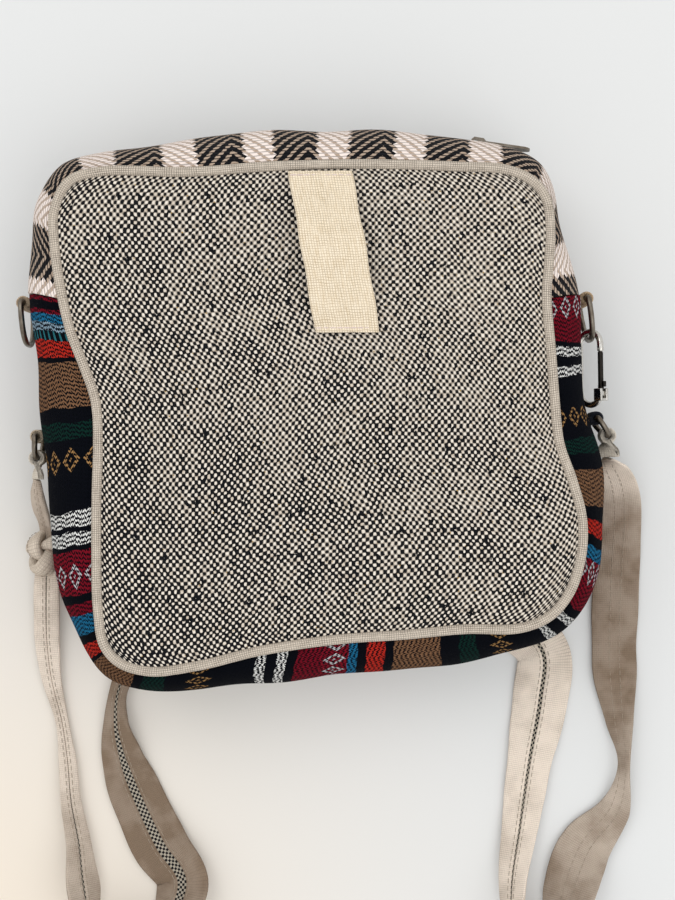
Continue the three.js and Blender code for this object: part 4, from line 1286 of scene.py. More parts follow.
@dataclass
class BeltLoop:
    """A straight strip of hemp, folded to a seam at its middle and sewn down at both ends."""

    shell: BagShell
    width: float = 25.6
    top_y: float = 96.0
    bottom_y: float = 31.0
    top_x: float = 1.6
    bottom_x: float = 12.6
    thick: float = 1.5
    bow: float = 7.0
    lift: float = 0.65
    steps: int = 76
    pieces: list[Piece] = field(default_factory=list)

    def panel_height(self, x: float, y: float) -> float:
        """Height of the back panel at a place, from the panel's points nearest to it."""
        away = np.sum((self.shell.panel[:, :2] - [x, y]) ** 2, 1)
        near = np.argpartition(away, 6)[:6]
        weights = 1 / (away[near] + 0.05)
        return float(np.sum(self.shell.panel[near, 2] * weights) / np.sum(weights))

    def strip(self, share: float, side: float, height: float) -> np.ndarray:
        """A point of the loop.

        Args:
            share: from its top end to its bottom end.
            side: from -1 at its left edge to 1.
            height: above its lower face.

        Returns:
            The point.
        """
        y = self.top_y + (self.bottom_y - self.top_y) * share
        x = self.top_x + (self.bottom_x - self.top_x) * share + self.width / 2 * side
        rise = self.bow * max(math.sin(math.pi * share), 0) ** 1.5
        return np.array([x, y, self.panel_height(x, y) + self.lift + rise + height])

    def assemble(self) -> None:
        """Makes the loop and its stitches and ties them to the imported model."""
        half = self.thick / 2
        # Section: share of the half width and height, over the top with its seam and back below.
        ring = [
            (-1, half), (-0.985, 1.25), (-0.94, 1.5), (-0.7, 1.56), (-0.4, 1.5), (-0.12, 1.5), (-0.05, 1.72),
            (0.0, 1.5), (0.05, 1.7), (0.12, 1.5), (0.4, 1.5), (0.7, 1.56), (0.94, 1.5), (0.985, 1.25),
            (1, half), (0.985, 0.2), (0.94, 0), (0.5, 0), (0, 0), (-0.5, 0), (-0.94, 0), (-0.985, 0.2), (-1, half),
        ]
        steps = self.steps
        sides = sorted({s for s, _ in ring})
        heights = {(i, s): self.strip(i / steps, s, 0.0) for i in range(0, steps + 1, 2) for s in sides}
        rows = []
        for i in range(steps + 1):
            share = i / steps
            row = []
            for s, h in ring:
                base = (heights[(i - 1, s)] + heights[(i + 1, s)]) / 2 if i % 2 else heights[(i, s)]
                wave = 0.18 * math.sin(share * 31 + s * 3) + 0.12 * math.sin(share * 13 - s * 5)
                squeeze = 1 - 0.35 * (math.exp(-share / 0.03) + math.exp(-(1 - share) / 0.03))
                level = h * squeeze + wave * (0 if h == 0 else 1)
                row.append(base + np.array([0.25 * s * math.sin(share * 17), 0, level]))
            rows.append(row)
        length = self.top_y - self.bottom_y
        around = np.array([s * self.width / 2 + (0 if i < 15 else 100) for i, (s, _) in enumerate(ring)])
        points = np.array(rows)
        chart = chart_of(np.linspace(0, length, steps + 1), around)
        count = len(ring)
        faces = np.concatenate([grid_faces(steps + 1, count), end_caps(steps + 1, count)])
        hemp = PlainLinen("undyed_hemp_tape", "F4E6CF", "8F7853", 1.02, 0.7, "DCC7A6").build()
        loop = build_mesh("belt_loop_strip", points.reshape(-1, 3), faces, hemp, chart)
        places, along, out = [], [], []
        for share in (0.028, 0.972):
            for k in range(9):
                side = -0.86 + 1.72 * k / 8
                here = self.strip(share, side, 1.12)
                near = self.strip(share, side + 0.02, 1.12)
                places.append(here)
                along.append((near - here) / np.linalg.norm(near - here))
                out.append([0, 0, 1])
        thread = SewingThread("blush_sewing_thread", "E6D3CD").build()
        rows_of = stitches(np.array(places), np.array(along), np.array(out), 2.2, 0.26)
        sewn = build_mesh("belt_loop_stitches", rows_of[0], rows_of[1], thread, rows_of[2])
        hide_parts("belt_loop")
        for piece in (loop, sewn):
            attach(piece, "bag")
            self.pieces.append(piece)


def dress(node: Piece, material: Material, bevel: float, sharp: float) -> None:
    """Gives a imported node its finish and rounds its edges.

    Args:
        node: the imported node.
        material: its finish.
        bevel: how far its edges are rounded, in millimetres.
        sharp: the least angle of an edge that is rounded, in degrees.
    """
    node.data.materials.clear()
    node.data.materials.append(material)
    rounding = node.modifiers.new("rounded_edges", "BEVEL")
    rounding.width = bevel * MM
    rounding.segments = 2
    rounding.limit_method = "ANGLE"
    rounding.angle_limit = math.radians(sharp)


@dataclass
class Zip:
    """The zip's tapes, stops, slider and pull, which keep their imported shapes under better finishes."""

    nodes: dict[str, Piece]
    tape_bevel: float = 0.12
    plate_bevel: float = 0.22
    sharp: float = 40.0

    def assemble(self, plate: Material) -> None:
        """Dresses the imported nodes.

        Args:
            plate: the metal finish of the slider, pull and stops.
        """
        tape = ZipTape().build()
        for name in ("zip_tape_back", "zip_tape_front"):
            dress(self.nodes[name], tape, self.tape_bevel, self.sharp)
        for name in ("zip_slider", "zip_pull", "zip_stop_left", "zip_stop_right"):
            dress(self.nodes[name], plate, self.plate_bevel, self.sharp)


class Side(Enum):
    """Which side of the bag a ring hangs on."""

    LEFT = -1
    RIGHT = 1


@dataclass(frozen=True)
class RingPlace:
    """One D-ring: its station on the outline, its side, turn about its bar and size, and its tab's cloth."""

    name: str
    station: float
    side: Side
    swing: float
    half_width: float
    height: float
    tab: str
    tab_gap: str


@dataclass
class SideRings:
    """The four D-rings, the cloth tabs that hold them and the strap ends sewn round the two lower ones."""

    seams: Seams
    wire_r: float = 1.2
    tab_share: float = 0.68
    tab_thick: float = 1.3
    tab_tail: float = 0.5
    gap: float = 0.4
    end_width: float = 7.6
    end_tail: float = 5.7
    end_slack: float = 0.5
    end_turns: tuple[float, float] = (4.0, -34.0)
    # How far each strap end's tail is twisted and how much wider it gets on the way.
    tail_twists: tuple[tuple[float, float], tuple[float, float]] = ((28.0, 1.15), (60.0, 1.3))
    ring_z: float = 24.0
    seam_gap: float = 0.5
    places: tuple[RingPlace, ...] = (
        RingPlace("upper_left", 38.83, Side.LEFT, -3, 12.5, 17.0, "CDB79C", "8F7A62"),
        RingPlace("lower_left", 35.4, Side.LEFT, 4, 9.5, 9.0, "C9B9A2", "8B7963"),
        RingPlace("upper_right", 14.05, Side.RIGHT, 9, 12.5, 17.0, "CDB393", "83694C"),
        RingPlace("lower_right", 16.48, Side.RIGHT, 36, 9.5, 9.0, "1E222C", "0D0E14"),
    )
    pieces: list[Piece] = field(default_factory=list)

    def seat(self, place: RingPlace) -> Matrix:
        """The frame of a ring's bar, before the ring is turned about it."""
        reach = self.wire_r + self.gap + self.tab_thick + self.tab_tail + self.seam_gap
        bar = self.seams.beside(self.seams.crest, place.station, reach, self.ring_z)
        return Matrix.Translation(Vector(bar))

    def arm(self, place: RingPlace) -> Matrix:
        """The frame of a ring as it hangs."""
        return self.seat(place) @ Matrix.Rotation(math.radians(place.side.value * place.swing), 4, "Z")

    def wrap(self, width: float, tail: float, slack: float) -> Shape:
        """Cloth turned round a wire, with both its layers running off as one tail towards -Y.

        Args:
            width: the cloth's width along the wire.
            tail: the tail's length past the turn.
            slack: extra room round the wire.

        Returns:
            Points, faces and chart.
        """
        bore = self.wire_r + self.gap * 0.4 + slack * 0.4
        outer = self.wire_r + self.gap + slack + self.tab_thick
        half, deep = self.tab_thick, outer + tail
        corner, root = math.atan2(half, deep), math.asin(half / outer)
        one_side = [corner, root, corner * 0.6, root * 1.25, *np.linspace(corner, root, 7)]
        angles = np.unique([*np.linspace(-math.pi, math.pi, 41), *one_side, *(-angle for angle in one_side)])
        reach = []
        for angle in angles:
            far = outer
            if math.cos(angle) > 0:
                far = max(outer, min(half / max(abs(math.sin(angle)), 1e-6), deep / math.cos(angle)))
            reach.append(far)
        reach = np.array(reach)
        aim = np.stack([np.sin(angles), -np.cos(angles)], 1)
        run = run_lengths(aim * reach[:, None])
        # Rows across the cloth: share of its width, and how far its face is drawn in there.
        levels = [
            (-0.5, 0.55), (-0.488, 0.2), (-0.46, 0.04), (-0.2, 0.0), (0.0, 0.03), (0.2, 0.0), (0.46, 0.04),
            (0.488, 0.2), (0.5, 0.55),
        ]
        rows, charts = [], []
        for level, draw in levels:
            rows.append(np.column_stack([aim * (reach - draw)[:, None], np.full(len(angles), level * width)]))
            charts.append(np.column_stack([run, np.full(len(angles), level * width)]))
        for level in (0.49, 0.0, -0.49):
            rows.append(np.column_stack([aim * bore, np.full(len(angles), level * width)]))
            charts.append(np.column_stack([angles * bore, np.full(len(angles), level * width)]))
        rows.append(rows[0])
        charts.append(charts[0])
        return np.concatenate(rows), grid_faces(len(rows), len(angles)), np.concatenate(charts)

    def twisted(self, points: np.ndarray, start: float, turn: float, wider: float) -> np.ndarray:
        """Turns and spreads a strap end's tail, so that it runs into the strap.

        Args:
            points: points in the strap end's own frame.
            start: how far from the wire the twist starts.
            turn: the twist at the tail's end in degrees.
            wider: the tail's width there, as a share of what it was.

        Returns:
            The changed points.
        """
        share = np.clip((-points[:, 1] - start) / (self.end_tail - 0.6), 0, 1)
        share = share * share * (3 - 2 * share)
        angle = np.radians(turn) * share
        z = points[:, 2] * (1 + (wider - 1) * share)
        x = points[:, 0] * np.cos(angle) + z * np.sin(angle)
        return np.column_stack([x, points[:, 1], z * np.cos(angle) - points[:, 0] * np.sin(angle)])

    def wire_path(self, w: float, h: float) -> np.ndarray:
        """The D's centre line in its own frame, of a half width and a height, with its bow towards -Y."""
        half = [
            (0, w * 0.4), (0, w * 0.78), (0.02, w * 0.94), (0.15, w), (0.45, w * 0.97), (0.8, w * 0.74),
            (0.97, w * 0.4), (1, 0),
        ]
        points = [(0, 0, 0), *((0, -d * h, s) for d, s in half), *((0, -d * h, -s) for d, s in half[-2::-1])]
        curve = Spline(points, True)
        count = 120
        return np.array([curve.at(i * len(points) / count) for i in range(count)])

    def assemble(self, plate: Material) -> None:
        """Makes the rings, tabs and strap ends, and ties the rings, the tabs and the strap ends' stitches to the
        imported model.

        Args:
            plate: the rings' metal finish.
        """
        strap_cloth = PlainLinen("hemp_strap_end", "D8D0C3", "978A78", 0.85, 0.45, "BDB1A0").build()
        thread = SewingThread("ecru_sewing_thread", "D9D0C2").build()
        for place in self.places:
            seat, arm = self.seat(place), self.arm(place)
            crest = self.seams.beside(self.seams.crest, place.station, 0)
            out = self.seams.beside(self.seams.crest, place.station, 1) - crest
            turn = Matrix.Rotation(math.atan2(-out[1], -out[0]) + math.pi / 2, 4, "Z")
            points, faces, chart = self.wrap(2 * self.tab_share * place.half_width, self.tab_tail, 0.0)
            cloth = PlainLinen(f"{place.name}_tab_cloth", place.tab, place.tab_gap, shade=place.tab_gap)
            tab = build_mesh(f"{place.name}_tab_fold", moved(points, seat @ turn), faces, cloth.build(), chart)
            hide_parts(f"{place.name}_tab")
            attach(tab, "bag")
            points, faces, chart = tube(self.wire_path(place.half_width, place.height), self.wire_r, 18, True)
            ring = build_mesh(f"{place.name}_d_ring", moved(points, arm), faces, plate, chart)
            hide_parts(f"{place.name}_ring")
            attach(ring, f"ring_{place.name}")
            self.pieces += [tab, ring]
        for name, index, turn, twist in zip(("left", "right"), (1, 3), self.end_turns, self.tail_twists):
            place, node = self.places[index], f"strap_end_{name}"
            hung = self.arm(place) @ Matrix.Translation((0, -place.height, 0))
            hung = hung @ Matrix.Rotation(math.radians(turn), 4, "Z")
            wrap = self.wrap(self.end_width, self.end_tail, self.end_slack)
            outer = self.wire_r + self.gap + self.end_slack + self.tab_thick
            levels = np.linspace(-0.28, 0.28, 4) * self.end_width
            face = self.tab_thick + 0.02
            middles = np.array([(side * face, -outer - 1.6, z) for side in (-1, 1) for z in levels])
            normals = np.array([(side, 0, 0) for side in (-1, 1) for _ in levels], float)
            sewn = stitches(middles, np.tile([0.0, 0, 1], (8, 1)), normals, 1.9, 0.24)
            tail, seams = (self.twisted(part[0], outer * 0.6, *twist) for part in (wrap, sewn))
            seam = build_mesh(f"strap_stitches_{name}_end", moved(seams, hung), sewn[1], thread, sewn[2])
            end = build_mesh(f"strap_loop_{name}", moved(tail, hung), wrap[1], strap_cloth, wrap[2])
            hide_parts(node)
            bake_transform(end)
            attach(seam, f"ring_lower_{name}")
            for piece in (end, seam):
                self.pieces.append(piece)


@dataclass
class SpringClip:
    """A bright oval spring clip on the upper right ring: bent wire, a riveted hinge block and a gate."""

    rings: SideRings
    nodes: dict[str, Piece]
    wire_r: float = 1.35
    half_width: float = 5.4
    straight: float = 20.0
    nose: float = 2.6
    turn: float = 132.0
    swing: float = -8.0
    gate_r: float = 1.15
    block: float = 5.2
    slot: float = 2.4
    tongue: float = 1.7
    pin_bevel: float = 0.2
    pin_sharp: float = 30.0
    gap: float = 0.4
    pieces: list[Piece] = field(default_factory=list)

    def frame(self) -> Matrix:
        """The clip's own frame, in which the ring's wire runs through the origin along Z."""
        upper_right = self.rings.places[2]
        bow = self.rings.arm(upper_right) @ Matrix.Translation((0, -upper_right.height, 0))
        swung = bow @ Matrix.Rotation(math.radians(self.swing), 4, "Z")
        return swung @ Matrix.Rotation(math.radians(self.turn), 4, "Y")

    def cheek(self, centre: Sequence[float], size: Sequence[float], bevel: float) -> Shape:
        """A block with rounded edges.

        Args:
            centre: its middle.
            size: its three lengths.
            bevel: how far its edges are drawn in.

        Returns:
            Points, faces and chart.
        """
        sides = 32
        half = np.array(size, float) / 2
        near = ((half[1], 1.0), (half[1] - bevel * 0.3, 0.35), (half[1] - bevel, 0.0))
        rows = []
        for y, drawn in (*((-y, drawn) for y, drawn in near), (0.0, 0.0), *near[::-1]):
            inset = bevel * drawn
            ring = []
            for i in range(sides + 1):
                angle = 2 * math.pi * i / sides
                c, s = math.cos(angle), math.sin(angle)
                bound = max(abs(c), abs(s))
                round_off = 1 - 0.10 * (min(abs(c), abs(s)) / bound) ** 6
                x, z = c / bound * (half[0] - inset) * round_off, s / bound * (half[2] - inset) * round_off
                ring.append((x, y, z))
            rows.append(ring)
        first, last = ([(0.0, rows[end][0][1], 0.0)] * (sides + 1) for end in (0, -1))
        rows = [first, *rows, last]
        points = np.array(rows).reshape(-1, 3) + centre
        return points, grid_faces(len(rows), sides + 1), points[:, :2].copy()

    def assemble(self, plate: Material, dark: Material) -> None:
        """Makes the clip's wire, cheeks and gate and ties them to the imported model.

        Args:
            plate: the bright finish of its frame.
            dark: the finish of its gate.
        """
        a = self.half_width
        arc_y = self.rings.wire_r + 2 * self.gap + self.wire_r - a
        hinge_y = arc_y - self.straight - 1.2
        top = [(a * math.cos(t), arc_y + a * math.sin(t), 0) for t in np.linspace(math.pi, 0, 25)]
        low_y = arc_y - self.straight
        bottom = [(a * math.cos(t), low_y + a * math.sin(t), 0) for t in np.linspace(0, -math.pi, 25)]
        side = [(a, arc_y - self.straight * k / 8, 0) for k in range(1, 8)]
        path = np.array([(-a, arc_y - self.nose, 0), (-a, arc_y - self.nose / 2, 0), *top, *side, *bottom])
        wire = tube(path, self.wire_r, 16, False)
        cheek_w = (self.block - self.slot) / 2
        cheek_size = (self.block * 0.75, self.block, cheek_w)
        cheeks = [self.cheek((-a, hinge_y, s * (self.slot + cheek_w) / 2), cheek_size, 0.3) for s in (-1, 1)]
        foot = self.cheek((-a, hinge_y - 2.1, 0), (self.block * 0.7, 1.1, self.block * 0.95), 0.25)
        whole = joined([wire, *cheeks, foot])
        frame = self.frame()
        body = build_mesh("clip_body", moved(whole[0], frame), whole[1], plate, whole[2])
        length = arc_y - self.nose - self.gap - hinge_y
        stem = np.array([(-a, hinge_y + y, 0) for y in np.linspace(3.2, length - 0.6, 12)])
        bar = tube(stem, self.gate_r, 16, False)
        tongue = self.cheek((-a, hinge_y + 1.3, 0), (2.2, 5.4, self.tongue), 0.2)
        thumb = self.cheek((-a - 1.6, hinge_y + 4.4, 0), (1.4, 2.4, self.tongue), 0.2)
        swung = joined([bar, tongue, thumb])
        gate = build_mesh("clip_gate_bar", moved(swung[0], frame), swung[1], dark, swung[2])
        for piece, node, body_name in ((body, "clip_frame", "clip"), (gate, "clip_gate", "gate")):
            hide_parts(node)
            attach(piece, body_name)
            self.pieces.append(piece)
        dress(self.nodes["clip_pin"], plate, self.pin_bevel, self.pin_sharp)


@dataclass
class Strap:
    """The long strap of folded hemp with a checked core, knotted once, from the left ring to the right one."""

    thick: float = 1.6
    stitch_pitch: float = 3.1
    knot_at: tuple[float, float, float] = (-117.0, -59.5, 9.2)
    knot_size: tuple[float, float, float] = (18.0, 23.5, 15.0)
    knot_turn: float = -22.0
    # Half the width and half the thickness of the folded strap in the knot, and how deep its pleats are.
    strand: tuple[float, float, float] = (4.4, 2.2, 0.35)
    strand_sides: int = 18
    # Route points: x, y, z, roll in degrees, width, the checked core's half width and how brown the cloth is,
    # which is partly the strap's own tone and partly painted shade where a length lies in shadow.
    route: tuple = (
        (-118.2, -28.2, 24, -66, 7, 0.2, 0.6), (-118.2, -34, 23.2, -50, 9, 0.2, 0.6),
        (-117.6, -42, 18, -44, 10, 0.2, 0.55), (-117, -48.5, 11.6, -44, 9, 0.2, 0.6),
        (-116.9, -54, 10, -40, 8, 0.2, 0.6), (-117, -59.5, 9.2, -30, 8, 0.2, 0.6),
        (-117.1, -65, 8.8, -20, 9, 0.2, 0.5), (-117.2, -70, 8.6, -14, 11.4, 0.3, 0.3),
        (-117.8, -84, 6.4, -10, 11.6, 0.25, 0.2), (-117.8, -98.6, 4.6, -8, 10.8, 0.12, 0.15),
        (-116, -116, 3.2, -4, 8.6, 0.08, 0.15), (-111.8, -134, 2.4, 4, 5.6, 0.08, 0.3),
        (-109.2, -151, 3.4, 10, 7.4, 0.08, 0.2), (-107.4, -168.6, 5, 14, 9, 0.2, 0.35),
        (-103.9, -186, 6.6, 24, 11, 0.35, 0.55), (-101.3, -203.5, 10.2, 44, 16, 0.5, 0.6),
        (-97, -221, 13.2, 84, 22, 0.8, 0.65), (-88, -233, 13.4, 90, 25, 1.2, 0.6),
        (-76, -233, 13.4, 88, 25, 1.6, 0.7), (-66, -222, 12, 66, 25, 1.9, 0.8),
        (-58.9, -203.5, 5.2, 18, 25, 2.2, 1.0), (-69, -188, 2.4, 4, 25, 2.2, 1.0),
        (-82.1, -159.8, 1.8, 0, 22, 1.9, 1.0), (-86.1, -146.7, 3, 7, 18, 1.4, 0.95),
        (-87.8, -133.6, 5.2, 23, 12, 0.9, 0.95), (-86.4, -119, 3.4, 10, 8, 0.5, 1.0),
        (-76, -102, 1.4, 0, 14, 0.6, 0.6), (-52, -94, 1.2, 0, 24, 1.4, 0.4), (4, -91, 1.2, 0, 24, 1.4, 0.4),
        (64, -89, 1.2, 0, 24, 1.2, 0.3), (86, -92, 1.3, 0, 24, 1.0, 0.1),
        (98.4, -104, 1.4, 0, 24, 0.9, 0.05), (97.4, -124, 1.6, -1, 24, 0.9, 0.05),
        (92.6, -151, 2.3, -4, 20, 0.7, 0.05), (88.4, -179, 3, -8, 16, 0.5, 0.1),
        (84, -206, 9.6, -42, 14, 0.4, 0.2), (85, -222, 13.2, -84, 18, 0.5, 0.4),
        (94, -232, 13.4, -92, 22, 0.7, 0.6), (103, -224, 12.6, -106, 24, 0.9, 0.7),
        (108.6, -207, 8.8, -146, 24, 1.0, 0.75), (116.6, -189, 3, -172, 22, 1.0, 0.7),
        (129.6, -172, 3.4, -168, 14, 0.7, 0.6), (133, -152, 6.8, -136, 6, 0.3, 0.7),
        (131.4, -134, 4.6, -156, 12, 0.6, 0.85), (129.6, -108, 2, -180, 20, 1.0, 0.95),
        (130.6, -66, 2.4, -178, 20, 1.0, 0.9), (131.4, -44, 5.5, -172, 19, 1.0, 0.7),
        (128.4, -31, 15, -164, 17, 0.9, 0.35), (123.9, -22.4, 23.2, -146, 13, 0.6, 0.2),
        (123, -19, 24, -100, 8, 0.3, 0.2),
    )
    pieces: list[Piece] = field(default_factory=list)

    def frames(self, steps: int) -> dict[str, np.ndarray]:
        """Walks the route and gives the strap's centre, directions and width at each step.

        Args:
            steps: how many steps.

        Returns:
            Arrays by name: centre, tangent, across, normal, width, core and brown.
        """
        route = self.route
        line = Spline([p[:3] for p in route], False)
        shape = Spline([p[3:] for p in route], False)
        keys = ("centre", "tangent", "across", "normal", "width", "core", "brown")
        found: dict[str, list] = {key: [] for key in keys}
        for i in range(steps + 1):
            place = i / steps * (len(route) - 1)
            tangent = line.direction(place)
            level = np.cross(tangent, [0, 0, 1])
            level /= np.linalg.norm(level)
            upward = np.cross(level, tangent)
            roll, width, core, brown = shape.at(place)
            angle = math.radians(roll)
            across = level * math.cos(angle) + upward * math.sin(angle)
            found["centre"].append(line.at(place))
            found["tangent"].append(tangent)
            found["across"].append(across)
            found["normal"].append(np.cross(across, tangent))
            for key, value in (("width", width), ("core", core), ("brown", brown)):
                found[key].append(value)
        return {key: np.array(values) for key, values in found.items()}

    def ribbon(self, frames: dict[str, np.ndarray]) -> tuple[np.ndarray, np.ndarray, np.ndarray, np.ndarray]:
        """The strap's body: two folded edges on its upper face that meet along the checked core.

        Args:
            frames: its centre line, directions and widths.

        Returns:
            Points, faces, chart and the core mark.
        """
        centre, across, normal, width = (frames[k] for k in ("centre", "across", "normal", "width"))
        reach = run_lengths(centre)
        half = self.thick / 2
        # Section: share of the half width, or distance from the core's edge, and height.
        left = [
            ("edge", -1.0, 0.0), ("edge", -0.985, 0.6), ("edge", -0.94, 0.8), ("edge", -0.7, 0.86),
            ("edge", -0.45, 0.8), ("core", -0.9, 0.84), ("core", -0.25, 0.8), ("core", 0.0, 0.5),
            ("core", 0.15, 0.2),
        ]
        points, charts, marks = [], [], []
        for i in range(len(centre)):
            w = width[i] / 2 * (1 + 0.02 * math.sin(reach[i] / 9.0) + 0.015 * math.sin(reach[i] / 4.1 + 1))
            core = float(frames["core"][i])
            section = []
            for kind, a, h in left:
                on_core = kind == "core" and a > 0
                if kind == "edge":
                    x = a * w
                else:
                    x = max(-core + a * (min(core, 1.0) if on_core else 1), -w * 0.97)
                section.append((x, h, 1.0 if on_core else 0.0))
            section.append((0.0, 0.24, 1.0))
            section += [(-x, h, m) for x, h, m in section[-2::-1]]
            section += [
                (0.985 * w, -0.6, 0), (0.94 * w, -0.8, 0), (0.4 * w, -0.82, 0), (0.0, -0.8, 0),
                (-0.4 * w, -0.82, 0), (-0.94 * w, -0.8, 0), (-0.985 * w, -0.6, 0), (-w, 0.0, 0),
            ]
            ripple = 0.22 * math.sin(reach[i] / 6.3) + 0.16 * math.sin(reach[i] / 2.9 + 2)
            for k, (x, h, mark) in enumerate(section):
                edge = (x / w) ** 2
                curl = 0.25 * math.sin(reach[i] / 14 + (1 if x > 0 else 0)) * edge
                rise = h * half / 0.8 + ripple * edge * 0.5 + curl
                points.append(centre[i] + across[i] * x + normal[i] * rise)
                charts.append((reach[i], x + (0 if k < 19 else 100)))
                marks.append(mark)
            count = len(section)
        faces = np.concatenate([grid_faces(len(centre), count), end_caps(len(centre), count)])
        return np.array(points), faces, np.array(charts), np.array(marks)

    def seams(self, frames: dict[str, np.ndarray]) -> Shape:
        """Two rows of stitches along the core, which show on both faces.

        Args:
            frames: the strap's centre line, directions and widths.

        Returns:
            Points, faces and chart.
        """
        centre = frames["centre"]
        reach = run_lengths(centre)
        marks = np.arange(2.0, reach[-1] - 2, self.stitch_pitch)
        at = {key: np.stack([np.interp(marks, reach, frames[key][:, k]) for k in range(3)], 1)
              for key in ("centre", "tangent", "across", "normal")}
        core = np.interp(marks, reach, frames["core"])
        parts = []
        for side in (-1, 1):
            for face in (-1, 1):
                out = side * (core + 1.15)
                rise = at["normal"] * (face * (self.thick / 2 + 0.02))
                places = at["centre"] + at["across"] * out[:, None] + rise
                parts.append(stitches(places, at["tangent"], at["normal"] * face, 1.9, 0.15))
        return joined(parts)

    def knot(self, material: Material, thread: Material) -> tuple[Piece, Piece]:
        """The overhand knot: three turns of the folded strap drawn tight, with a row of stitches along each.

        Args:
            material: the strap's finish.
            thread: the stitches' finish.

        Returns:
            The turns and their stitches.
        """
        count = 150
        t = np.linspace(0, 2 * math.pi, count, endpoint=False)
        x, y, z = np.sin(t) + 2 * np.sin(2 * t), np.cos(t) - 2 * np.cos(2 * t), -1.15 * np.sin(3 * t)
        path = np.stack([x, y, z], 1)
        reach = np.array(self.knot_size) / 2 - [3.0, 3.2, 2.6]
        path = path / np.abs(path).max(0) * reach
        after = np.roll(path, -1, 0) - np.roll(path, 1, 0)
        along = after / np.linalg.norm(after, axis=1)[:, None]
        away = path / np.maximum(np.linalg.norm(path, axis=1), 1e-6)[:, None]
        out = away - along * np.sum(away * along, 1)[:, None]
        out /= np.linalg.norm(out, axis=1)[:, None]
        wide = np.cross(along, out)
        half_width, half_thick, deep = self.strand
        turn = np.linspace(0, 2 * math.pi, self.strand_sides + 1)
        rows, charts = [], []
        length = 0.0
        for i in [*range(count), 0]:
            pleat = deep * np.cos(3 * turn + 1.2 * math.sin(t[i] * 2))
            sideways = (half_width + pleat)[:, None] * np.cos(turn)[:, None] * wide[i]
            outward = (half_thick + 0.5 * pleat)[:, None] * np.sin(turn)[:, None] * out[i]
            section = sideways + outward
            rows.append(path[i] + section)
            charts.append(np.column_stack([np.full(len(turn), length), turn * 3.4]))
            length += float(np.linalg.norm(path[(i + 1) % count] - path[i]))
        turned = Matrix.Rotation(math.radians(self.knot_turn), 4, "Z")
        place = Matrix.Translation(Vector(self.knot_at)) @ turned
        points = moved(np.array(rows).reshape(-1, 3), place)
        points[:, 2] = np.maximum(points[:, 2], 0.3)
        faces = grid_faces(count + 1, len(turn))
        turns = build_mesh("strap_knot_turns", points, faces, material, np.concatenate(charts))
        every = slice(0, count, 3)
        seam = path[every] + wide[every] * 1.5 + out[every] * 2.3
        sewn = stitches(seam, along[every], out[every], 1.5, 0.16)
        low = moved(sewn[0], place)
        low[:, 2] = np.maximum(low[:, 2], 0.3)
        return turns, build_mesh("strap_knot_stitches", low, sewn[1], thread, sewn[2])

    def assemble(self) -> None:
        """Makes the strap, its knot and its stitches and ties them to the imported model."""
        frames = self.frames(740)
        points, faces, chart, core = self.ribbon(frames)
        # How brown each point is: partly the strap's own tone, partly painted shade.
        brown = np.repeat(frames["brown"], len(points) // len(frames["centre"]))
        marks = {"Core": core, "Brown": brown}
        ribbon = build_mesh("strap_ribbon", points, faces, StrapCloth().build(), chart, marks)
        thread = SewingThread("ecru_strap_thread", "A39483").build()
        hemp = PlainLinen("hemp_knot_cloth", "DCCFBF", "7A6B5C", 0.85, 0.6, "B0A08F").build()
        knot, knot_seam = self.knot(hemp, thread)
        points, faces, chart = self.seams(frames)
        sewn = build_mesh("strap_stitches", points, faces, thread, chart)
        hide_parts("strap_to_knot", "strap_long")
        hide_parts("strap_knot")
        for piece in (ribbon, knot, knot_seam, sewn):
            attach(piece, "bag")
            self.pieces.append(piece)


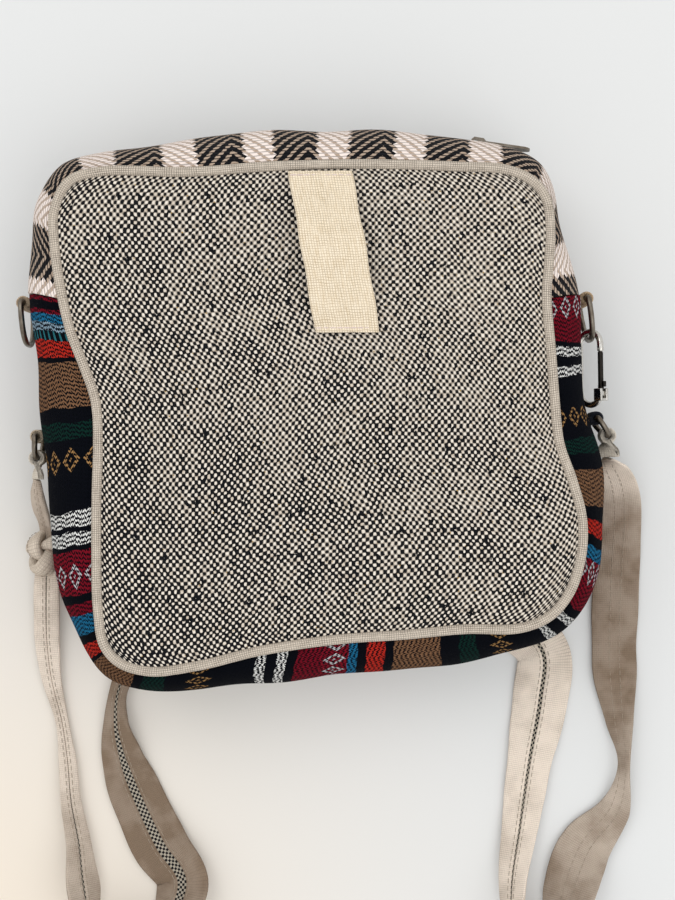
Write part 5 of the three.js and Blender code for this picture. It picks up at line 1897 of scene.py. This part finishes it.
@dataclass
class Studio:
    """A pale floor, soft lamps and the camera above the bag."""

    camera_at: tuple[float, float, float] = (8.6, -15.6, 658.0)
    lens: float = 60.0
    floor_reach: float = 7000.0
    # Each lamp's place and side in metres and its power in watts.
    key: tuple[tuple[float, float, float], float, float] = ((-0.9, 1.0, 2.0), 1.5, 12.0)
    fill: tuple[tuple[float, float, float], float, float] = ((1.1, -0.8, 1.9), 2.0, 12.5)
    sky: float = 0.94
    sky_tint: str = "F8F8F7"

    def lamp(self, name: str, at: tuple[float, float, float], size: float, energy: float) -> None:
        """Adds one square area lamp that looks at the bag's middle.

        Args:
            name: the lamp's name.
            at: its place in metres.
            size: its side in metres.
            energy: its power in watts.
        """
        data = bpy.data.lights.new(name, "AREA")
        data.shape = "SQUARE"
        data.size = size
        data.energy = energy
        lamp = bpy.data.objects.new(name, data)
        lamp.location = at
        lamp.rotation_euler = (-Vector(at)).to_track_quat("-Z", "Y").to_euler()
        bpy.context.scene.collection.objects.link(lamp)

    def assemble(self) -> None:
        """Makes the camera, floor, lamps and world."""
        scene = bpy.context.scene
        scene.view_settings.view_transform = "Standard"
        data = bpy.data.cameras.new("overhead_camera")
        data.lens = self.lens
        data.sensor_width = 36.0
        camera = bpy.data.objects.new("overhead_camera", data)
        camera.location = Vector(self.camera_at) * MM
        scene.collection.objects.link(camera)
        scene.camera = camera
        reach = self.floor_reach
        corners = np.array([(-reach, -reach, 0), (reach, -reach, 0), (reach, reach, 0), (-reach, reach, 0)])
        floor = build_mesh("floor", corners, np.array([[0, 1, 2, 3]]), PaintedFloor().build())
        self.lamp("key_lamp", *self.key)
        self.lamp("fill_lamp", *self.fill)
        world = bpy.data.worlds.new("soft_daylight")
        world.use_nodes = True
        light = world.node_tree.nodes["Background"].inputs
        light["Color"].default_value = linear(self.sky_tint)
        light["Strength"].default_value = self.sky
        scene.world = world


def main() -> None:
    """Builds the sub-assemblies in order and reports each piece."""
    logging.basicConfig(level=logging.INFO, format="%(name)s: %(message)s")
    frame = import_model()
    Studio().assemble()
    strap = Strap()
    strap.assemble()
    seams = Seams()
    shell = BagShell(seams)
    shell.assemble()
    loop = BeltLoop(shell)
    loop.assemble()
    dull = NickelPlate("dull_nickel_plate", "8E877D", "5F5549", 0.36, 0.9).build()
    bright = NickelPlate("bright_nickel_plate", "DAD8D4", "A39C90", 0.22, 0.5).build()
    Zip(frame["nodes"]).assemble(dull)
    rings = SideRings(seams)
    rings.assemble(dull)
    clip = SpringClip(rings, frame["nodes"])
    clip.assemble(bright, NickelPlate("blackened_nickel_plate", "3A3733", "1C1A18", 0.34, 0.8).build())
    for group in (strap, shell, loop, rings, clip):
        for piece in group.pieces:
            log.info("%s: %d faces", piece.name, len(piece.data.polygons))


if __name__ == "__main__":
    main()
